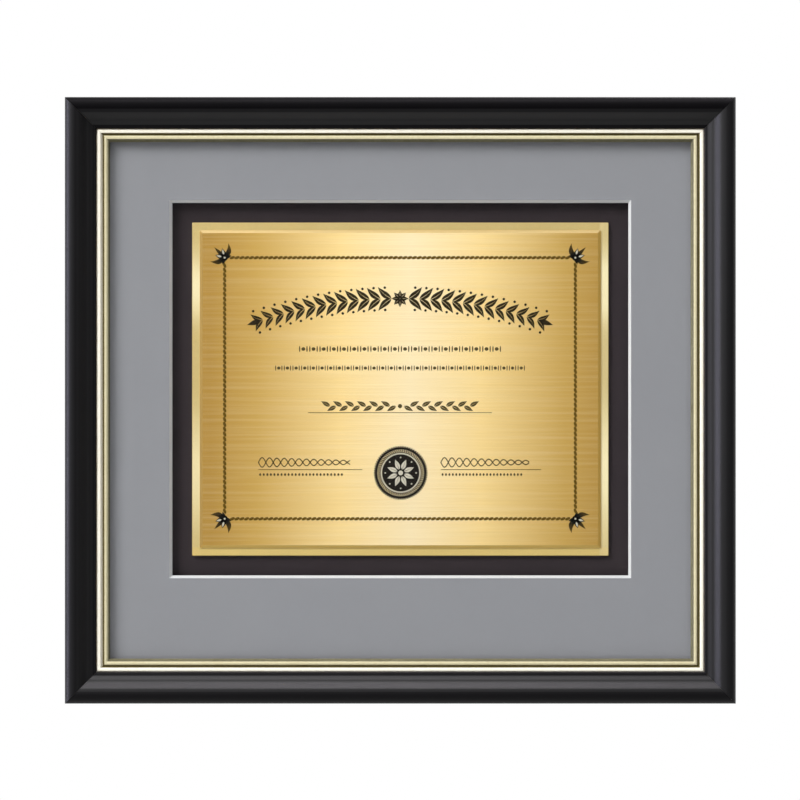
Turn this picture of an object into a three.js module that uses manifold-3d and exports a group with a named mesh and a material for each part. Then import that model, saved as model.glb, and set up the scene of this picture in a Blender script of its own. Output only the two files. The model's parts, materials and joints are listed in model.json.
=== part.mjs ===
// A framed certificate plaque for a wall, in millimetres.
// Seen from the front, X points right and Z up, and Y points back towards the wall.
// The origin is the centre of the plaque on the wall plane, which the bumpers touch.
import * as THREE from 'three';
import { mergeVertices } from 'three/addons/utils/BufferGeometryUtils.js';
import Module from 'manifold-3d';

const wasm = await Module();
wasm.setup();

// Frame and moulding
const FRAME_WIDTH = 406.4;
const FRAME_HEIGHT = 367.4;
const RAIL_WIDTH = 19.05;
const RABBET_WIDTH = 6.35;
const CREST_RISE = 8;
const WALL_RISE = 1.8;
const COVE_RISE = 3.9;
const LIP_RISE = 2.1;
const MITRE_GAP = 0.15;
const CURVE_STEPS = 6;
const FINE_STEPS = 16;

// Gilt slip: the tail lies under the rail's lip and the beads stand in the opening
const SLIP_REVEAL = 7.8;
const SLIP_TAIL = 2.4;
const SLIP_FIT = 0.2;
const BROAD_BEAD_RISE = 1.7;
const FINE_BEAD_RISE = 1.1;
const SLIP_GROOVE = 0.5;
const SIGHT_EDGE = 0.6;

// Layers in the rabbet
const LAYER_GAP = 0.2;
const BOARD_CLEARANCE = 0.5;
const GLAZING_THICKNESS = 2;
const MAT_THICKNESS = 1.6;
const SPACER_THICKNESS = 4;
const SPACER_WIDTH = 20;
const MOUNT_THICKNESS = 1.6;
const BACKING_THICKNESS = 3;
const BACKING_SETBACK = 0.3;

// Metal plates and the window round them
const PLATE_WIDTH = 254;
const PLATE_HEIGHT = 203.2;
const PLATE_THICKNESS = 1;
const PLATE_EDGE = 0.25;
const FACE_MARGIN = 4.8;
const FACE_THICKNESS = 0.9;
const FACE_BEVEL = 0.35;
const WINDOW_REVEAL = 11.8;
const WINDOW_RISE = 6.8;
const TAPE_WIDTH = 25;
const TAPE_END_INSET = 22;
const TAPE_EDGE_INSET = 29.1;
const TAPE_THICKNESS = 0.6;

// V-nails across the mitres
const NAIL_LEG = 5;
const NAIL_THICKNESS = 0.6;
const NAIL_LENGTH = 10;
const NAIL_SPREAD = THREE.MathUtils.degToRad(55);
const NAIL_SINK = 0.3;
const NAIL_PLACES = [0.2, 0.5];

// Turn buttons and their screws
const SIDE_BUTTON_SPREAD = 210;
const LONG_BUTTON_SPREAD = 200;
const BUTTON_REACH = 15;
const BUTTON_ROOT_RADIUS = 4.5;
const BUTTON_TIP_RADIUS = 3.2;
const BUTTON_THICKNESS = 1.2;
const SCREW_HEAD_RADIUS = 3;
const SCREW_HEAD_HEIGHT = 1.7;
const SCREW_SHANK_RADIUS = 1.5;
const SCREW_GRIP = 9;
const SCREW_POINT = 2;
const SCREW_SLOT_WIDTH = 0.8;
const SCREW_SLOT_LENGTH = 3.4;
const SCREW_SLOT_DEPTH = 0.9;
const SCREW_SIDES = 16;
const HOLE_SIDES = 12;
const FIT = 0.3;

// Strap hangers with D-rings
const HANGER_HEIGHT = 60;
const HANGER_INSET = 7.2;
const STRAP_WIDTH = 8;
const STRAP_SHEET = 1;
const STRAP_LENGTH = 21.5;
const STRAP_SCREW_DROP = 16.5;
const RING_WIRE_RADIUS = 1;
const RING_HALF_WIDTH = 6;
const RING_DROP = 11;
const RING_SIDES = 10;
const RING_STEPS = 20;

// Bumpers
const BUMPER_HEIGHT = 5;
const BUMPER_RADIUS = 5;
const BUMPER_ROUND = 1;
const BUMPER_INSET = 26;
const BUMPER_SIDES = 20;

// Depths are measured forwards from the back of the rails
const backingFront = BACKING_SETBACK + BACKING_THICKNESS;
const mountBack = backingFront + LAYER_GAP;
const mountFront = mountBack + MOUNT_THICKNESS;
const spacerBack = mountFront + LAYER_GAP;
const matBack = spacerBack + SPACER_THICKNESS + LAYER_GAP;
const glazingBack = matBack + MAT_THICKNESS + LAYER_GAP;
const slipBack = glazingBack + GLAZING_THICKNESS + LAYER_GAP;
const slipTailFront = slipBack + SLIP_TAIL;
const ledge = slipTailFront + LAYER_GAP;
const tapeBack = mountFront + LAYER_GAP;
const plateBack = tapeBack + TAPE_THICKNESS + LAYER_GAP;
const faceBack = plateBack + PLATE_THICKNESS + LAYER_GAP;

const railBackWidth = RAIL_WIDTH - RABBET_WIDTH;
const boardWidth = FRAME_WIDTH - 2 * (railBackWidth + BOARD_CLEARANCE);
const boardHeight = FRAME_HEIGHT - 2 * (railBackWidth + BOARD_CLEARANCE);
const windowWidth = PLATE_WIDTH + 2 * WINDOW_REVEAL;
const windowHeight = PLATE_HEIGHT + 2 * WINDOW_REVEAL;
const quarterTurn = Math.PI / 2;

const part = new THREE.Group();
part.name = 'certificate_plaque';

// The frame group has its zero depth at the back of the rails
const frame = new THREE.Group();
frame.position.y = -BUMPER_HEIGHT;
part.add(frame);

function addPiece(parent, name, geometry, colour, roughness, metalness) {
  const material = new THREE.MeshStandardMaterial({ color: colour, roughness, metalness });
  const mesh = new THREE.Mesh(geometry, material);
  mesh.name = name;
  parent.add(mesh);
  return mesh;
}

// Booleans
function toSolid(geometry) {
  const bare = geometry.clone();
  bare.deleteAttribute('normal');
  bare.deleteAttribute('uv');
  const merged = mergeVertices(bare, 1e-4);
  const vertProperties = Float32Array.from(merged.attributes.position.array);
  const triVerts = Uint32Array.from(merged.index.array);
  return new wasm.Manifold(new wasm.Mesh({ numProp: 3, vertProperties, triVerts }));
}

function toGeometry(solid) {
  const mesh = solid.getMesh();
  const geometry = new THREE.BufferGeometry();
  geometry.setAttribute('position', new THREE.BufferAttribute(mesh.vertProperties, 3));
  geometry.setIndex(new THREE.BufferAttribute(mesh.triVerts, 1));
  geometry.computeVertexNormals();
  return geometry;
}

function cut(geometry, tools) {
  let solid = toSolid(geometry);
  for (const tool of tools) {
    solid = solid.subtract(toSolid(tool));
  }
  return toGeometry(solid);
}

// A flat outline drawn in X and Z, from one height in Y to another
function slab(outline, low, high) {
  const settings = { depth: high - low, bevelEnabled: false, curveSegments: CURVE_STEPS };
  return new THREE.ExtrudeGeometry(outline, settings).rotateX(quarterTurn).translate(0, high, 0);
}

function sheet(width, height, back, thickness) {
  const geometry = new THREE.BoxGeometry(width, thickness, height);
  return geometry.translate(0, -back - thickness / 2, 0);
}

// Moulding and slip, as cross-sections: first number inwards from the outer edge, second forwards
function railProfile() {
  const crest = 0.31 * RAIL_WIDTH;
  const slope = 0.6 * RAIL_WIDTH;
  const cove = 0.75 * RAIL_WIDTH;
  const step = 0.865 * RAIL_WIDTH;
  const shelf = 0.96 * RAIL_WIDTH;
  const top = ledge + CREST_RISE;
  const wall = ledge + WALL_RISE;
  const waist = ledge + 0.65 * CREST_RISE;
  const dip = ledge + COVE_RISE;
  const lip = ledge + LIP_RISE;
  const bead = (dip + lip) / 2;
  const profile = new THREE.Shape();
  profile.moveTo(0, 0);
  profile.lineTo(railBackWidth, 0);
  profile.lineTo(railBackWidth, ledge);
  profile.lineTo(RAIL_WIDTH, ledge);
  profile.lineTo(RAIL_WIDTH, lip - (RAIL_WIDTH - shelf));
  profile.lineTo(shelf, lip);
  profile.bezierCurveTo(0.93 * RAIL_WIDTH, lip, 0.9 * RAIL_WIDTH, lip, step, bead);
  profile.bezierCurveTo(0.84 * RAIL_WIDTH, dip, 0.8 * RAIL_WIDTH, dip, cove, dip);
  profile.bezierCurveTo(0.69 * RAIL_WIDTH, dip, 0.65 * RAIL_WIDTH, 0.7 * dip + 0.3 * waist, slope, waist);
  profile.bezierCurveTo(0.53 * RAIL_WIDTH, 0.3 * waist + 0.7 * top, 0.44 * RAIL_WIDTH, top, crest, top);
  profile.bezierCurveTo(0.12 * RAIL_WIDTH, top, 0, 0.35 * wall + 0.65 * top, 0, wall);
  profile.closePath();
  return profile;
}

function slipProfile() {
  const tail = railBackWidth + BOARD_CLEARANCE;
  const start = RAIL_WIDTH + SLIP_FIT;
  const sight = RAIL_WIDTH + SLIP_REVEAL;
  const broadBead = 0.34 * SLIP_REVEAL;
  const fineBead = 0.31 * SLIP_REVEAL;
  const slope = 0.21 * SLIP_REVEAL;
  const fineEnd = sight - slope;
  const fineCentre = fineEnd - fineBead / 2;
  const broadCentre = start + broadBead / 2;
  const grooveCentre = (start + broadBead + fineEnd - fineBead) / 2;
  const profile = new THREE.Shape();
  profile.moveTo(tail, slipBack);
  profile.lineTo(sight, slipBack);
  profile.lineTo(sight, slipBack + SIGHT_EDGE);
  profile.lineTo(fineEnd, slipTailFront);
  profile.absellipse(fineCentre, slipTailFront, fineBead / 2, FINE_BEAD_RISE, 0, Math.PI);
  profile.lineTo(grooveCentre, slipTailFront - SLIP_GROOVE);
  profile.lineTo(start + broadBead, slipTailFront);
  profile.absellipse(broadCentre, slipTailFront, broadBead / 2, BROAD_BEAD_RISE, 0, Math.PI);
  profile.lineTo(tail, slipTailFront);
  profile.closePath();
  return profile;
}

// A strip with both ends mitred: X along the rail, Y back, Z inwards from the outer edge
function mitredStrip(profile, length) {
  const settings = { depth: 1, bevelEnabled: false, curveSegments: CURVE_STEPS };
  const geometry = new THREE.ExtrudeGeometry(profile, settings);
  const points = geometry.attributes.position;
  for (let i = 0; i < points.count; i += 1) {
    const inwards = points.getX(i);
    const forwards = points.getY(i);
    const half = length / 2 - inwards - MITRE_GAP;
    const along = points.getZ(i) > 0.5 ? half : -half;
    points.setXYZ(i, along, -forwards, inwards);
  }
  geometry.computeVertexNormals();
  return geometry;
}

// Screws: axis along Y with the head towards the wall and its underside at zero
function screwGeometry(length) {
  const outline = [
    [0, -length - SCREW_POINT],
    [SCREW_SHANK_RADIUS, -length],
    [SCREW_SHANK_RADIUS, 0],
    [SCREW_HEAD_RADIUS, 0],
    [SCREW_HEAD_RADIUS, 0.45 * SCREW_HEAD_HEIGHT],
    [0.85 * SCREW_HEAD_RADIUS, 0.8 * SCREW_HEAD_HEIGHT],
    [0.55 * SCREW_HEAD_RADIUS, SCREW_HEAD_HEIGHT],
    [0, SCREW_HEAD_HEIGHT],
  ];
  const points = outline.map(([radius, height]) => new THREE.Vector2(radius, height));
  const body = new THREE.LatheGeometry(points, SCREW_SIDES);
  const floor = SCREW_HEAD_HEIGHT - SCREW_SLOT_DEPTH;
  const slots = [0, quarterTurn].map((turn) => {
    const slot = new THREE.BoxGeometry(SCREW_SLOT_LENGTH, 2 * SCREW_SLOT_DEPTH, SCREW_SLOT_WIDTH);
    return slot.rotateY(turn).translate(0, floor + SCREW_SLOT_DEPTH, 0);
  });
  return cut(body, slots);
}

// A clearance hole for a screw, which reaches as far each way from zero
function screwHole(reach) {
  const radius = SCREW_SHANK_RADIUS + FIT;
  return new THREE.CylinderGeometry(radius, radius, 2 * reach, HOLE_SIDES);
}

// Turn button: a tapered tongue that points inwards, flat on the back
function buttonGeometry() {
  const lean = Math.asin((BUTTON_ROOT_RADIUS - BUTTON_TIP_RADIUS) / BUTTON_REACH);
  const outline = new THREE.Shape();
  outline.absarc(0, 0, BUTTON_ROOT_RADIUS, lean, Math.PI - lean, true);
  outline.absarc(0, BUTTON_REACH, BUTTON_TIP_RADIUS, Math.PI - lean, lean, true);
  outline.closePath();
  const hole = new THREE.Path();
  hole.absarc(0, 0, SCREW_SHANK_RADIUS + FIT, 0, 2 * Math.PI);
  outline.holes.push(hole);
  return slab(outline, 0, BUTTON_THICKNESS);
}

// V-nail: two legs that open inwards from the mitre line, grown all round for its slot
function nailOutline(growth) {
  const across = Math.sin(NAIL_SPREAD);
  const inwards = Math.cos(NAIL_SPREAD);
  const leg = NAIL_LEG + growth;
  const inner = NAIL_THICKNESS + growth;
  const outline = new THREE.Shape();
  outline.moveTo(0, -growth / across);
  outline.lineTo(leg * across + growth * inwards, leg * inwards - growth * across);
  outline.lineTo(leg * across - inner * inwards, leg * inwards + inner * across);
  outline.lineTo(0, inner / across);
  outline.lineTo(-leg * across + inner * inwards, leg * inwards + inner * across);
  outline.lineTo(-leg * across - growth * inwards, leg * inwards - growth * across);
  outline.closePath();
  return outline;
}

function nailSlots(length) {
  const slots = [];
  for (const end of [-1, 1]) {
    for (const share of NAIL_PLACES) {
      const inset = share * railBackWidth;
      const slot = slab(nailOutline(FIT), -NAIL_SINK - NAIL_LENGTH - FIT, FIT);
      slot.rotateY(-end * quarterTurn / 2).translate(end * (length / 2 - inset), 0, inset);
      slots.push(slot);
    }
  }
  return slots;
}

// One side of the frame: rail, slip, and two turn buttons on their screws
const buttonSeat = FIT;
const screwSeat = buttonSeat + BUTTON_THICKNESS + FIT;
const pilotReach = SCREW_GRIP + SCREW_POINT + FIT;

function addSide(name, length, turn, place, buttonSpread, hangerAlong) {
  const side = new THREE.Group();
  side.rotation.y = turn;
  side.position.set(place[0], 0, place[1]);
  frame.add(side);

  const middle = railBackWidth / 2;
  const tools = nailSlots(length);
  const buttons = [-buttonSpread / 2, buttonSpread / 2];
  for (const along of buttons) {
    tools.push(screwHole(pilotReach).translate(along, 0, middle));
  }
  for (const along of hangerAlong) {
    tools.push(screwHole(pilotReach).translate(along, 0, HANGER_INSET));
  }
  const rail = cut(mitredStrip(railProfile(), length), tools);
  addPiece(side, `rail_${name}`, rail, 0x1c1b1f, 0.4, 0);
  addPiece(side, `slip_${name}`, mitredStrip(slipProfile(), length), 0xd8cfa4, 0.35, 0.8);
  buttons.forEach((along, i) => {
    const button = addPiece(side, `turn_button_${name}_${i + 1}`, buttonGeometry(), 0xc9a75a, 0.35, 1);
    button.position.set(along, buttonSeat, middle);
    const screw = screwGeometry(screwSeat + SCREW_GRIP);
    const fixing = addPiece(side, `turn_button_screw_${name}_${i + 1}`, screw, 0xb9b9b4, 0.3, 1);
    fixing.position.set(along, screwSeat, middle);
  });
}

const screwHeight = HANGER_HEIGHT - STRAP_SCREW_DROP;
addSide('bottom', FRAME_WIDTH, 0, [0, -FRAME_HEIGHT / 2], LONG_BUTTON_SPREAD, []);
addSide('left', FRAME_HEIGHT, quarterTurn, [-FRAME_WIDTH / 2, 0], SIDE_BUTTON_SPREAD, [-screwHeight]);
addSide('top', FRAME_WIDTH, Math.PI, [0, FRAME_HEIGHT / 2], LONG_BUTTON_SPREAD, []);
addSide('right', FRAME_HEIGHT, -quarterTurn, [FRAME_WIDTH / 2, 0], SIDE_BUTTON_SPREAD, [screwHeight]);

// V-nails in the four corners
function addCorner(name, xSign, zSign) {
  const corner = new THREE.Group();
  corner.position.set(xSign * FRAME_WIDTH / 2, 0, zSign * FRAME_HEIGHT / 2);
  corner.rotation.y = Math.atan2(-xSign, -zSign);
  frame.add(corner);
  NAIL_PLACES.forEach((share, i) => {
    const nail = slab(nailOutline(0), -NAIL_SINK - NAIL_LENGTH, -NAIL_SINK);
    const piece = addPiece(corner, `v_nail_${name}_${i + 1}`, nail, 0x6f7478, 0.45, 1);
    piece.position.z = share * railBackWidth * Math.SQRT2;
  });
}

addCorner('top_left', -1, 1);
addCorner('top_right', 1, 1);
addCorner('bottom_left', -1, -1);
addCorner('bottom_right', 1, -1);

// Layers behind the slip
function matGeometry() {
  const outline = new THREE.Shape();
  outline.moveTo(-boardWidth / 2, -boardHeight / 2);
  outline.lineTo(boardWidth / 2, -boardHeight / 2);
  outline.lineTo(boardWidth / 2, boardHeight / 2);
  outline.lineTo(-boardWidth / 2, boardHeight / 2);
  outline.closePath();
  const low = WINDOW_RISE - windowHeight / 2;
  const high = WINDOW_RISE + windowHeight / 2;
  const hole = new THREE.Path();
  hole.moveTo(-windowWidth / 2, low);
  hole.lineTo(-windowWidth / 2, high);
  hole.lineTo(windowWidth / 2, high);
  hole.lineTo(windowWidth / 2, low);
  hole.closePath();
  outline.holes.push(hole);
  const geometry = slab(outline, -matBack - MAT_THICKNESS, -matBack);
  // The window widens towards the front, which gives the cut its bevel
  const points = geometry.attributes.position;
  for (let i = 0; i < points.count; i += 1) {
    const x = points.getX(i);
    const z = points.getZ(i);
    const atFront = points.getY(i) < -matBack - MAT_THICKNESS / 2;
    const atWindow = Math.abs(x) < boardWidth / 2 - LAYER_GAP;
    if (atFront && atWindow) {
      points.setX(i, x + Math.sign(x) * MAT_THICKNESS);
      points.setZ(i, z + Math.sign(z - WINDOW_RISE) * MAT_THICKNESS);
    }
  }
  geometry.computeVertexNormals();
  return geometry;
}

const glass = sheet(boardWidth, boardHeight, glazingBack, GLAZING_THICKNESS);
addPiece(frame, 'glazing', glass, 0xf2f6f5, 0.05, 0);
addPiece(frame, 'window_mat', matGeometry(), 0x8f9095, 0.9, 0);
const mount = sheet(boardWidth, boardHeight, mountBack, MOUNT_THICKNESS);
addPiece(frame, 'mount_board', mount, 0x2c282b, 0.9, 0);
const backing = sheet(boardWidth, boardHeight, BACKING_SETBACK, BACKING_THICKNESS);
addPiece(frame, 'backing_board', backing, 0x8a6140, 0.8, 0);

const sideSpacer = boardHeight - 2 * (SPACER_WIDTH + LAYER_GAP);
const spacerX = (boardWidth - SPACER_WIDTH) / 2;
const spacerZ = (boardHeight - SPACER_WIDTH) / 2;
const spacers = [
  ['top', boardWidth, SPACER_WIDTH, 0, spacerZ],
  ['bottom', boardWidth, SPACER_WIDTH, 0, -spacerZ],
  ['left', SPACER_WIDTH, sideSpacer, -spacerX, 0],
  ['right', SPACER_WIDTH, sideSpacer, spacerX, 0],
];
for (const [name, width, height, x, z] of spacers) {
  const strip = sheet(width, height, spacerBack, SPACER_THICKNESS);
  addPiece(frame, `spacer_${name}`, strip, 0xe9e7e2, 0.9, 0).position.set(x, 0, z);
}

// Metal plates on their tape
function plateGeometry(width, height, thickness, edge) {
  const outline = new THREE.Shape();
  outline.moveTo(-width / 2, -height / 2);
  outline.lineTo(width / 2, -height / 2);
  outline.lineTo(width / 2, height / 2);
  outline.lineTo(-width / 2, height / 2);
  outline.closePath();
  const settings = {
    depth: thickness - 2 * edge,
    bevelThickness: edge,
    bevelSize: edge,
    bevelOffset: -edge,
    bevelSegments: 1,
  };
  return new THREE.ExtrudeGeometry(outline, settings).rotateX(quarterTurn).translate(0, -edge, 0);
}

const plates = new THREE.Group();
plates.position.z = WINDOW_RISE;
frame.add(plates);

const faceWidth = PLATE_WIDTH - 2 * FACE_MARGIN;
const faceHeight = PLATE_HEIGHT - 2 * FACE_MARGIN;
const base = plateGeometry(PLATE_WIDTH, PLATE_HEIGHT, PLATE_THICKNESS, PLATE_EDGE);
addPiece(plates, 'base_plate', base, 0xcdb676, 0.25, 1).position.y = -plateBack;
const face = plateGeometry(faceWidth, faceHeight, FACE_THICKNESS, FACE_BEVEL);
addPiece(plates, 'face_plate', face, 0xe2bf72, 0.4, 1).position.y = -faceBack;
const tapeLength = PLATE_WIDTH - 2 * TAPE_END_INSET;
const tapeHeight = (PLATE_HEIGHT - TAPE_WIDTH) / 2 - TAPE_EDGE_INSET;
for (const [i, side] of [-1, 1].entries()) {
  const tape = sheet(tapeLength, TAPE_WIDTH, tapeBack, TAPE_THICKNESS);
  addPiece(plates, `plate_tape_${i + 1}`, tape, 0xd8d6cf, 0.7, 0).position.z = side * tapeHeight;
}

// Strap hangers: the barrel axis is at zero height and the strap hangs below it
const boreRadius = RING_WIRE_RADIUS + FIT;
const barrelRadius = boreRadius + STRAP_SHEET;
const barrelOff = FIT + barrelRadius;
const strapFront = FIT + 2 * STRAP_SHEET;

function strapGeometry() {
  const meet = Math.acos((strapFront - barrelOff) / barrelRadius);
  const profile = new THREE.Shape();
  profile.moveTo(FIT, -STRAP_LENGTH);
  profile.lineTo(FIT, 0);
  profile.absarc(barrelOff, 0, barrelRadius, Math.PI, -meet, true);
  profile.lineTo(strapFront, -STRAP_LENGTH);
  profile.closePath();
  const bore = new THREE.Path();
  bore.absarc(barrelOff, 0, boreRadius, 0, 2 * Math.PI);
  profile.holes.push(bore);
  const settings = { depth: STRAP_WIDTH, bevelEnabled: false, curveSegments: FINE_STEPS };
  const folded = new THREE.ExtrudeGeometry(profile, settings);
  const xAxis = new THREE.Vector3(0, 1, 0);
  const yAxis = new THREE.Vector3(0, 0, 1);
  const zAxis = new THREE.Vector3(1, 0, 0);
  const upright = new THREE.Matrix4().makeBasis(xAxis, yAxis, zAxis);
  folded.applyMatrix4(upright).translate(-STRAP_WIDTH / 2, 0, 0);

  const plan = new THREE.Shape();
  plan.moveTo(STRAP_WIDTH, 2 * barrelRadius);
  plan.lineTo(-STRAP_WIDTH, 2 * barrelRadius);
  plan.lineTo(-STRAP_WIDTH / 2, STRAP_WIDTH / 2 - STRAP_LENGTH);
  plan.absarc(0, STRAP_WIDTH / 2 - STRAP_LENGTH, STRAP_WIDTH / 2, -Math.PI, 0, false);
  plan.closePath();
  const rounded = toSolid(folded).intersect(toSolid(slab(plan, -FIT, 2 * barrelOff)));
  const hole = screwHole(2 * strapFront).translate(0, 0, -STRAP_SCREW_DROP);
  return toGeometry(rounded.subtract(toSolid(hole)));
}

class BowCurve extends THREE.Curve {
  getPoint(t, target = new THREE.Vector3()) {
    const angle = Math.PI * t;
    return target.set(-RING_HALF_WIDTH * Math.cos(angle), 0, -RING_DROP * Math.sin(angle));
  }
}

function ringGeometry() {
  const wire = new THREE.Shape();
  wire.absarc(0, 0, RING_WIRE_RADIUS, 0, 2 * Math.PI);
  const settings = { extrudePath: new BowCurve(), steps: RING_STEPS, curveSegments: RING_SIDES / 2 };
  const bow = new THREE.ExtrudeGeometry(wire, settings);
  const barLength = 2 * (RING_HALF_WIDTH + 0.8 * RING_WIRE_RADIUS);
  const bar = new THREE.CylinderGeometry(RING_WIRE_RADIUS, RING_WIRE_RADIUS, barLength, RING_SIDES);
  return toGeometry(toSolid(bow).add(toSolid(bar.rotateZ(quarterTurn))));
}

// At rest the ring hangs down and its bow lies just clear of the strap
const ringTilt = Math.asin((strapFront + FIT + RING_WIRE_RADIUS - barrelOff) / RING_DROP);
for (const [name, sign] of [['left', -1], ['right', 1]]) {
  const hanger = new THREE.Group();
  hanger.position.set(sign * (FRAME_WIDTH / 2 - HANGER_INSET), 0, HANGER_HEIGHT);
  frame.add(hanger);
  addPiece(hanger, `hanger_strap_${name}`, strapGeometry(), 0xb4b4b0, 0.3, 1);
  const ring = addPiece(hanger, `hanger_ring_${name}`, ringGeometry(), 0xc2c2be, 0.25, 1);
  ring.position.y = barrelOff;
  ring.rotation.x = ringTilt;
  const screw = screwGeometry(strapFront + FIT + SCREW_GRIP);
  const fixing = addPiece(hanger, `hanger_screw_${name}`, screw, 0xb9b9b4, 0.3, 1);
  fixing.position.set(0, strapFront + FIT, -STRAP_SCREW_DROP);
}

// Bumpers near the corners of the top and bottom rails
function bumperGeometry() {
  const outline = [
    [0, LAYER_GAP],
    [BUMPER_RADIUS, LAYER_GAP],
    [BUMPER_RADIUS, BUMPER_HEIGHT - BUMPER_ROUND],
    [BUMPER_RADIUS - 0.3 * BUMPER_ROUND, BUMPER_HEIGHT - 0.3 * BUMPER_ROUND],
    [BUMPER_RADIUS - BUMPER_ROUND, BUMPER_HEIGHT],
    [0, BUMPER_HEIGHT],
  ];
  const points = outline.map(([radius, height]) => new THREE.Vector2(radius, height));
  return new THREE.LatheGeometry(points, BUMPER_SIDES);
}

for (const [rail, zSign] of [['top', 1], ['bottom', -1]]) {
  for (const [end, xSign] of [['left', -1], ['right', 1]]) {
    const bumper = addPiece(frame, `bumper_${rail}_${end}`, bumperGeometry(), 0x2a2a2b, 0.8, 0);
    const x = xSign * (FRAME_WIDTH / 2 - BUMPER_INSET);
    bumper.position.set(x, 0, zSign * (FRAME_HEIGHT / 2 - railBackWidth / 2));
  }
}

export default part;
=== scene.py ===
# Looks of a framed certificate plaque, in metres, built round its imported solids.
# Seen from the front, X points right and Z up, and Y points back towards the wall.
import json
import math

import bmesh
import bpy
from mathutils import Color, Matrix, Vector


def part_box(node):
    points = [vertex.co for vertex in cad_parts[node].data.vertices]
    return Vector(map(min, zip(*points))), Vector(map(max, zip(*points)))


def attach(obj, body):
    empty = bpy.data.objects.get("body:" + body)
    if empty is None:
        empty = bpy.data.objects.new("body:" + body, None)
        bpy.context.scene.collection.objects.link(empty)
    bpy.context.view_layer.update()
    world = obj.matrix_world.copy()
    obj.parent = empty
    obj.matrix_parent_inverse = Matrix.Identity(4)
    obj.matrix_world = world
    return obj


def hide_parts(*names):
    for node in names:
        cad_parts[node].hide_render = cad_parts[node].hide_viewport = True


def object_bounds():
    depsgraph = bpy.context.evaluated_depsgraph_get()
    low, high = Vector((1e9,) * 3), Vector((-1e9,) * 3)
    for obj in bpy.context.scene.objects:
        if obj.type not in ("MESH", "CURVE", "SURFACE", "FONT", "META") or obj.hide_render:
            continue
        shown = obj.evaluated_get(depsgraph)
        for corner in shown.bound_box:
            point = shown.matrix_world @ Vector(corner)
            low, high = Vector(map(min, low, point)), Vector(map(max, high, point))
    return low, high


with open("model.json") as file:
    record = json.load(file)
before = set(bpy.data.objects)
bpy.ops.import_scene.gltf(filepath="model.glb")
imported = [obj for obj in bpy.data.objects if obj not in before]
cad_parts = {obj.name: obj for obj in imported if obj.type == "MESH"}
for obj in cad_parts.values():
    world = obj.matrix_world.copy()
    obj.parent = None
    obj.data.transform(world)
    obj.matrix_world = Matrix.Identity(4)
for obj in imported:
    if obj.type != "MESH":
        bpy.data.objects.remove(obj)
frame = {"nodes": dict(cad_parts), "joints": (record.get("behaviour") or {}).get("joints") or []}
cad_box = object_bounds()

MM = 0.001
TURN = 2 * math.pi
NODES = frame["nodes"]

# View: the photograph's scale on the face plate and the camera's distance from it
IMAGE_SIDE = 800
PIXEL = 0.6093 * MM
VIEW_DISTANCE = 1.75
VIEW_SHIFT = 0.2 * MM
SENSOR = 36.0

# Moulding section
FRAME_WIDTH = cad_box[1].x - cad_box[0].x
FRAME_HEIGHT = cad_box[1].z - cad_box[0].z
RAIL_LOW, RAIL_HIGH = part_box("rail_bottom")
RAIL_WIDTH = RAIL_HIGH.z - RAIL_LOW.z
RAIL_BACK = RAIL_HIGH.y
RAIL_DEPTH = RAIL_HIGH.y - RAIL_LOW.y
RABBET_WIDTH = 6.35 * MM
CREST_RISE = 8 * MM
WALL_RISE = 1.8 * MM
LIP_RISE = 2.1 * MM
LIP_SHARE = 0.96
LIP_TRIM = 0.2 * MM
CREST_SHARE = 0.31
SHOULDER_SHARE = 0.12
SHOULDER_PULL = 0.65
# Rail finishes: the crest's and the lip's carry painted sheen and painted shade, set side by side to how the
# light falls
LACQUER, HALF_CREST_PAINTED, CREST_PAINTED, SHADED, WOOD = range(5)
# Knots of the inner slope: share of the width, rise above the ledge, steepness, and finish up to there
SLOPE_KNOTS = (
    (LIP_SHARE, LIP_RISE, 0.0, SHADED),
    (0.885, 2.4 * MM, 0.45, SHADED),
    (0.81, 3.13 * MM, 0.57, LACQUER),
    (0.73, 3.86 * MM, 0.36, LACQUER),
    (0.6, 5.56 * MM, 0.87, LACQUER),
    (0.505, 6.976 * MM, 0.6, LACQUER),
    (0.47, 7.3 * MM, 0.36, HALF_CREST_PAINTED),
    (0.4, 7.72 * MM, 0.24, HALF_CREST_PAINTED),
    (CREST_SHARE, CREST_RISE, 0.0, CREST_PAINTED),
)
ARRIS = 0.5 * MM
MITRE_GAP = 0.04 * MM
CURVE_STEPS = 14

# Slip section
SLIP_LOW, SLIP_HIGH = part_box("slip_bottom")
SLIP_FIT = 0.1 * MM
SLIP_TAIL = 2.4 * MM
BROAD_BEAD_RISE = 1.1 * MM
FINE_BEAD_RISE = 0.75 * MM
BEAD_FLATNESS = 4
INNER_FLANK = 0.7
OUTER_FLANK = -0.5
SLIP_GROOVE = 0.5 * MM
SIGHT_EDGE = 0.6 * MM
BROAD_BEAD_SHARE = 0.38
FINE_BEAD_SHARE = 0.31
SLOPE_SHARE = 0.172
SLOPE_SPLIT = 0.65
CREAM, GROOVE, GOLD, SLOPE, RAW = range(5)
# Slip finishes: top of the slope, fine bead, outer wall of the groove, broad bead
# Each bead has an inner flank, a top and an outer flank. Flanks in the groove's and the slope's dark gilt
# are painted shade, and the left strip's paler flanks are painted light
PLAIN_SLIP = (SLOPE, (SLOPE, GOLD, GOLD), GROOVE, (GROOVE, CREAM, CREAM))
LEFT_SLIP = (GOLD, (GOLD, GOLD, GROOVE), CREAM, (CREAM, CREAM, CREAM))

# Plates and engraving
PLATE_CORNER = 0.6 * MM
PLATE_EDGE = (0.25 * MM, 0.25 * MM)
FACE_BEVEL = (1.7 * MM, 0.5 * MM)
EDGE_STEPS = 4
ENGRAVING_RISE = 0.06 * MM
ENGRAVING_SINK = 0.02 * MM
MARK_EDGE = 0.06

# Hardware
FIT = 0.3 * MM
CUT_FIT = 0.1 * MM
BUTTON_REACH = 15 * MM
BUTTON_ROOT = 4.5 * MM
BUTTON_TIP = 3.2 * MM
BUTTON_EDGE = 0.3 * MM
BUTTON_STEPS = 16
RIB_START = 6.5 * MM
RIB_RADIUS = 1.3 * MM
RIB_RISE = 0.45 * MM
RIB_STEPS = 10
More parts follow.
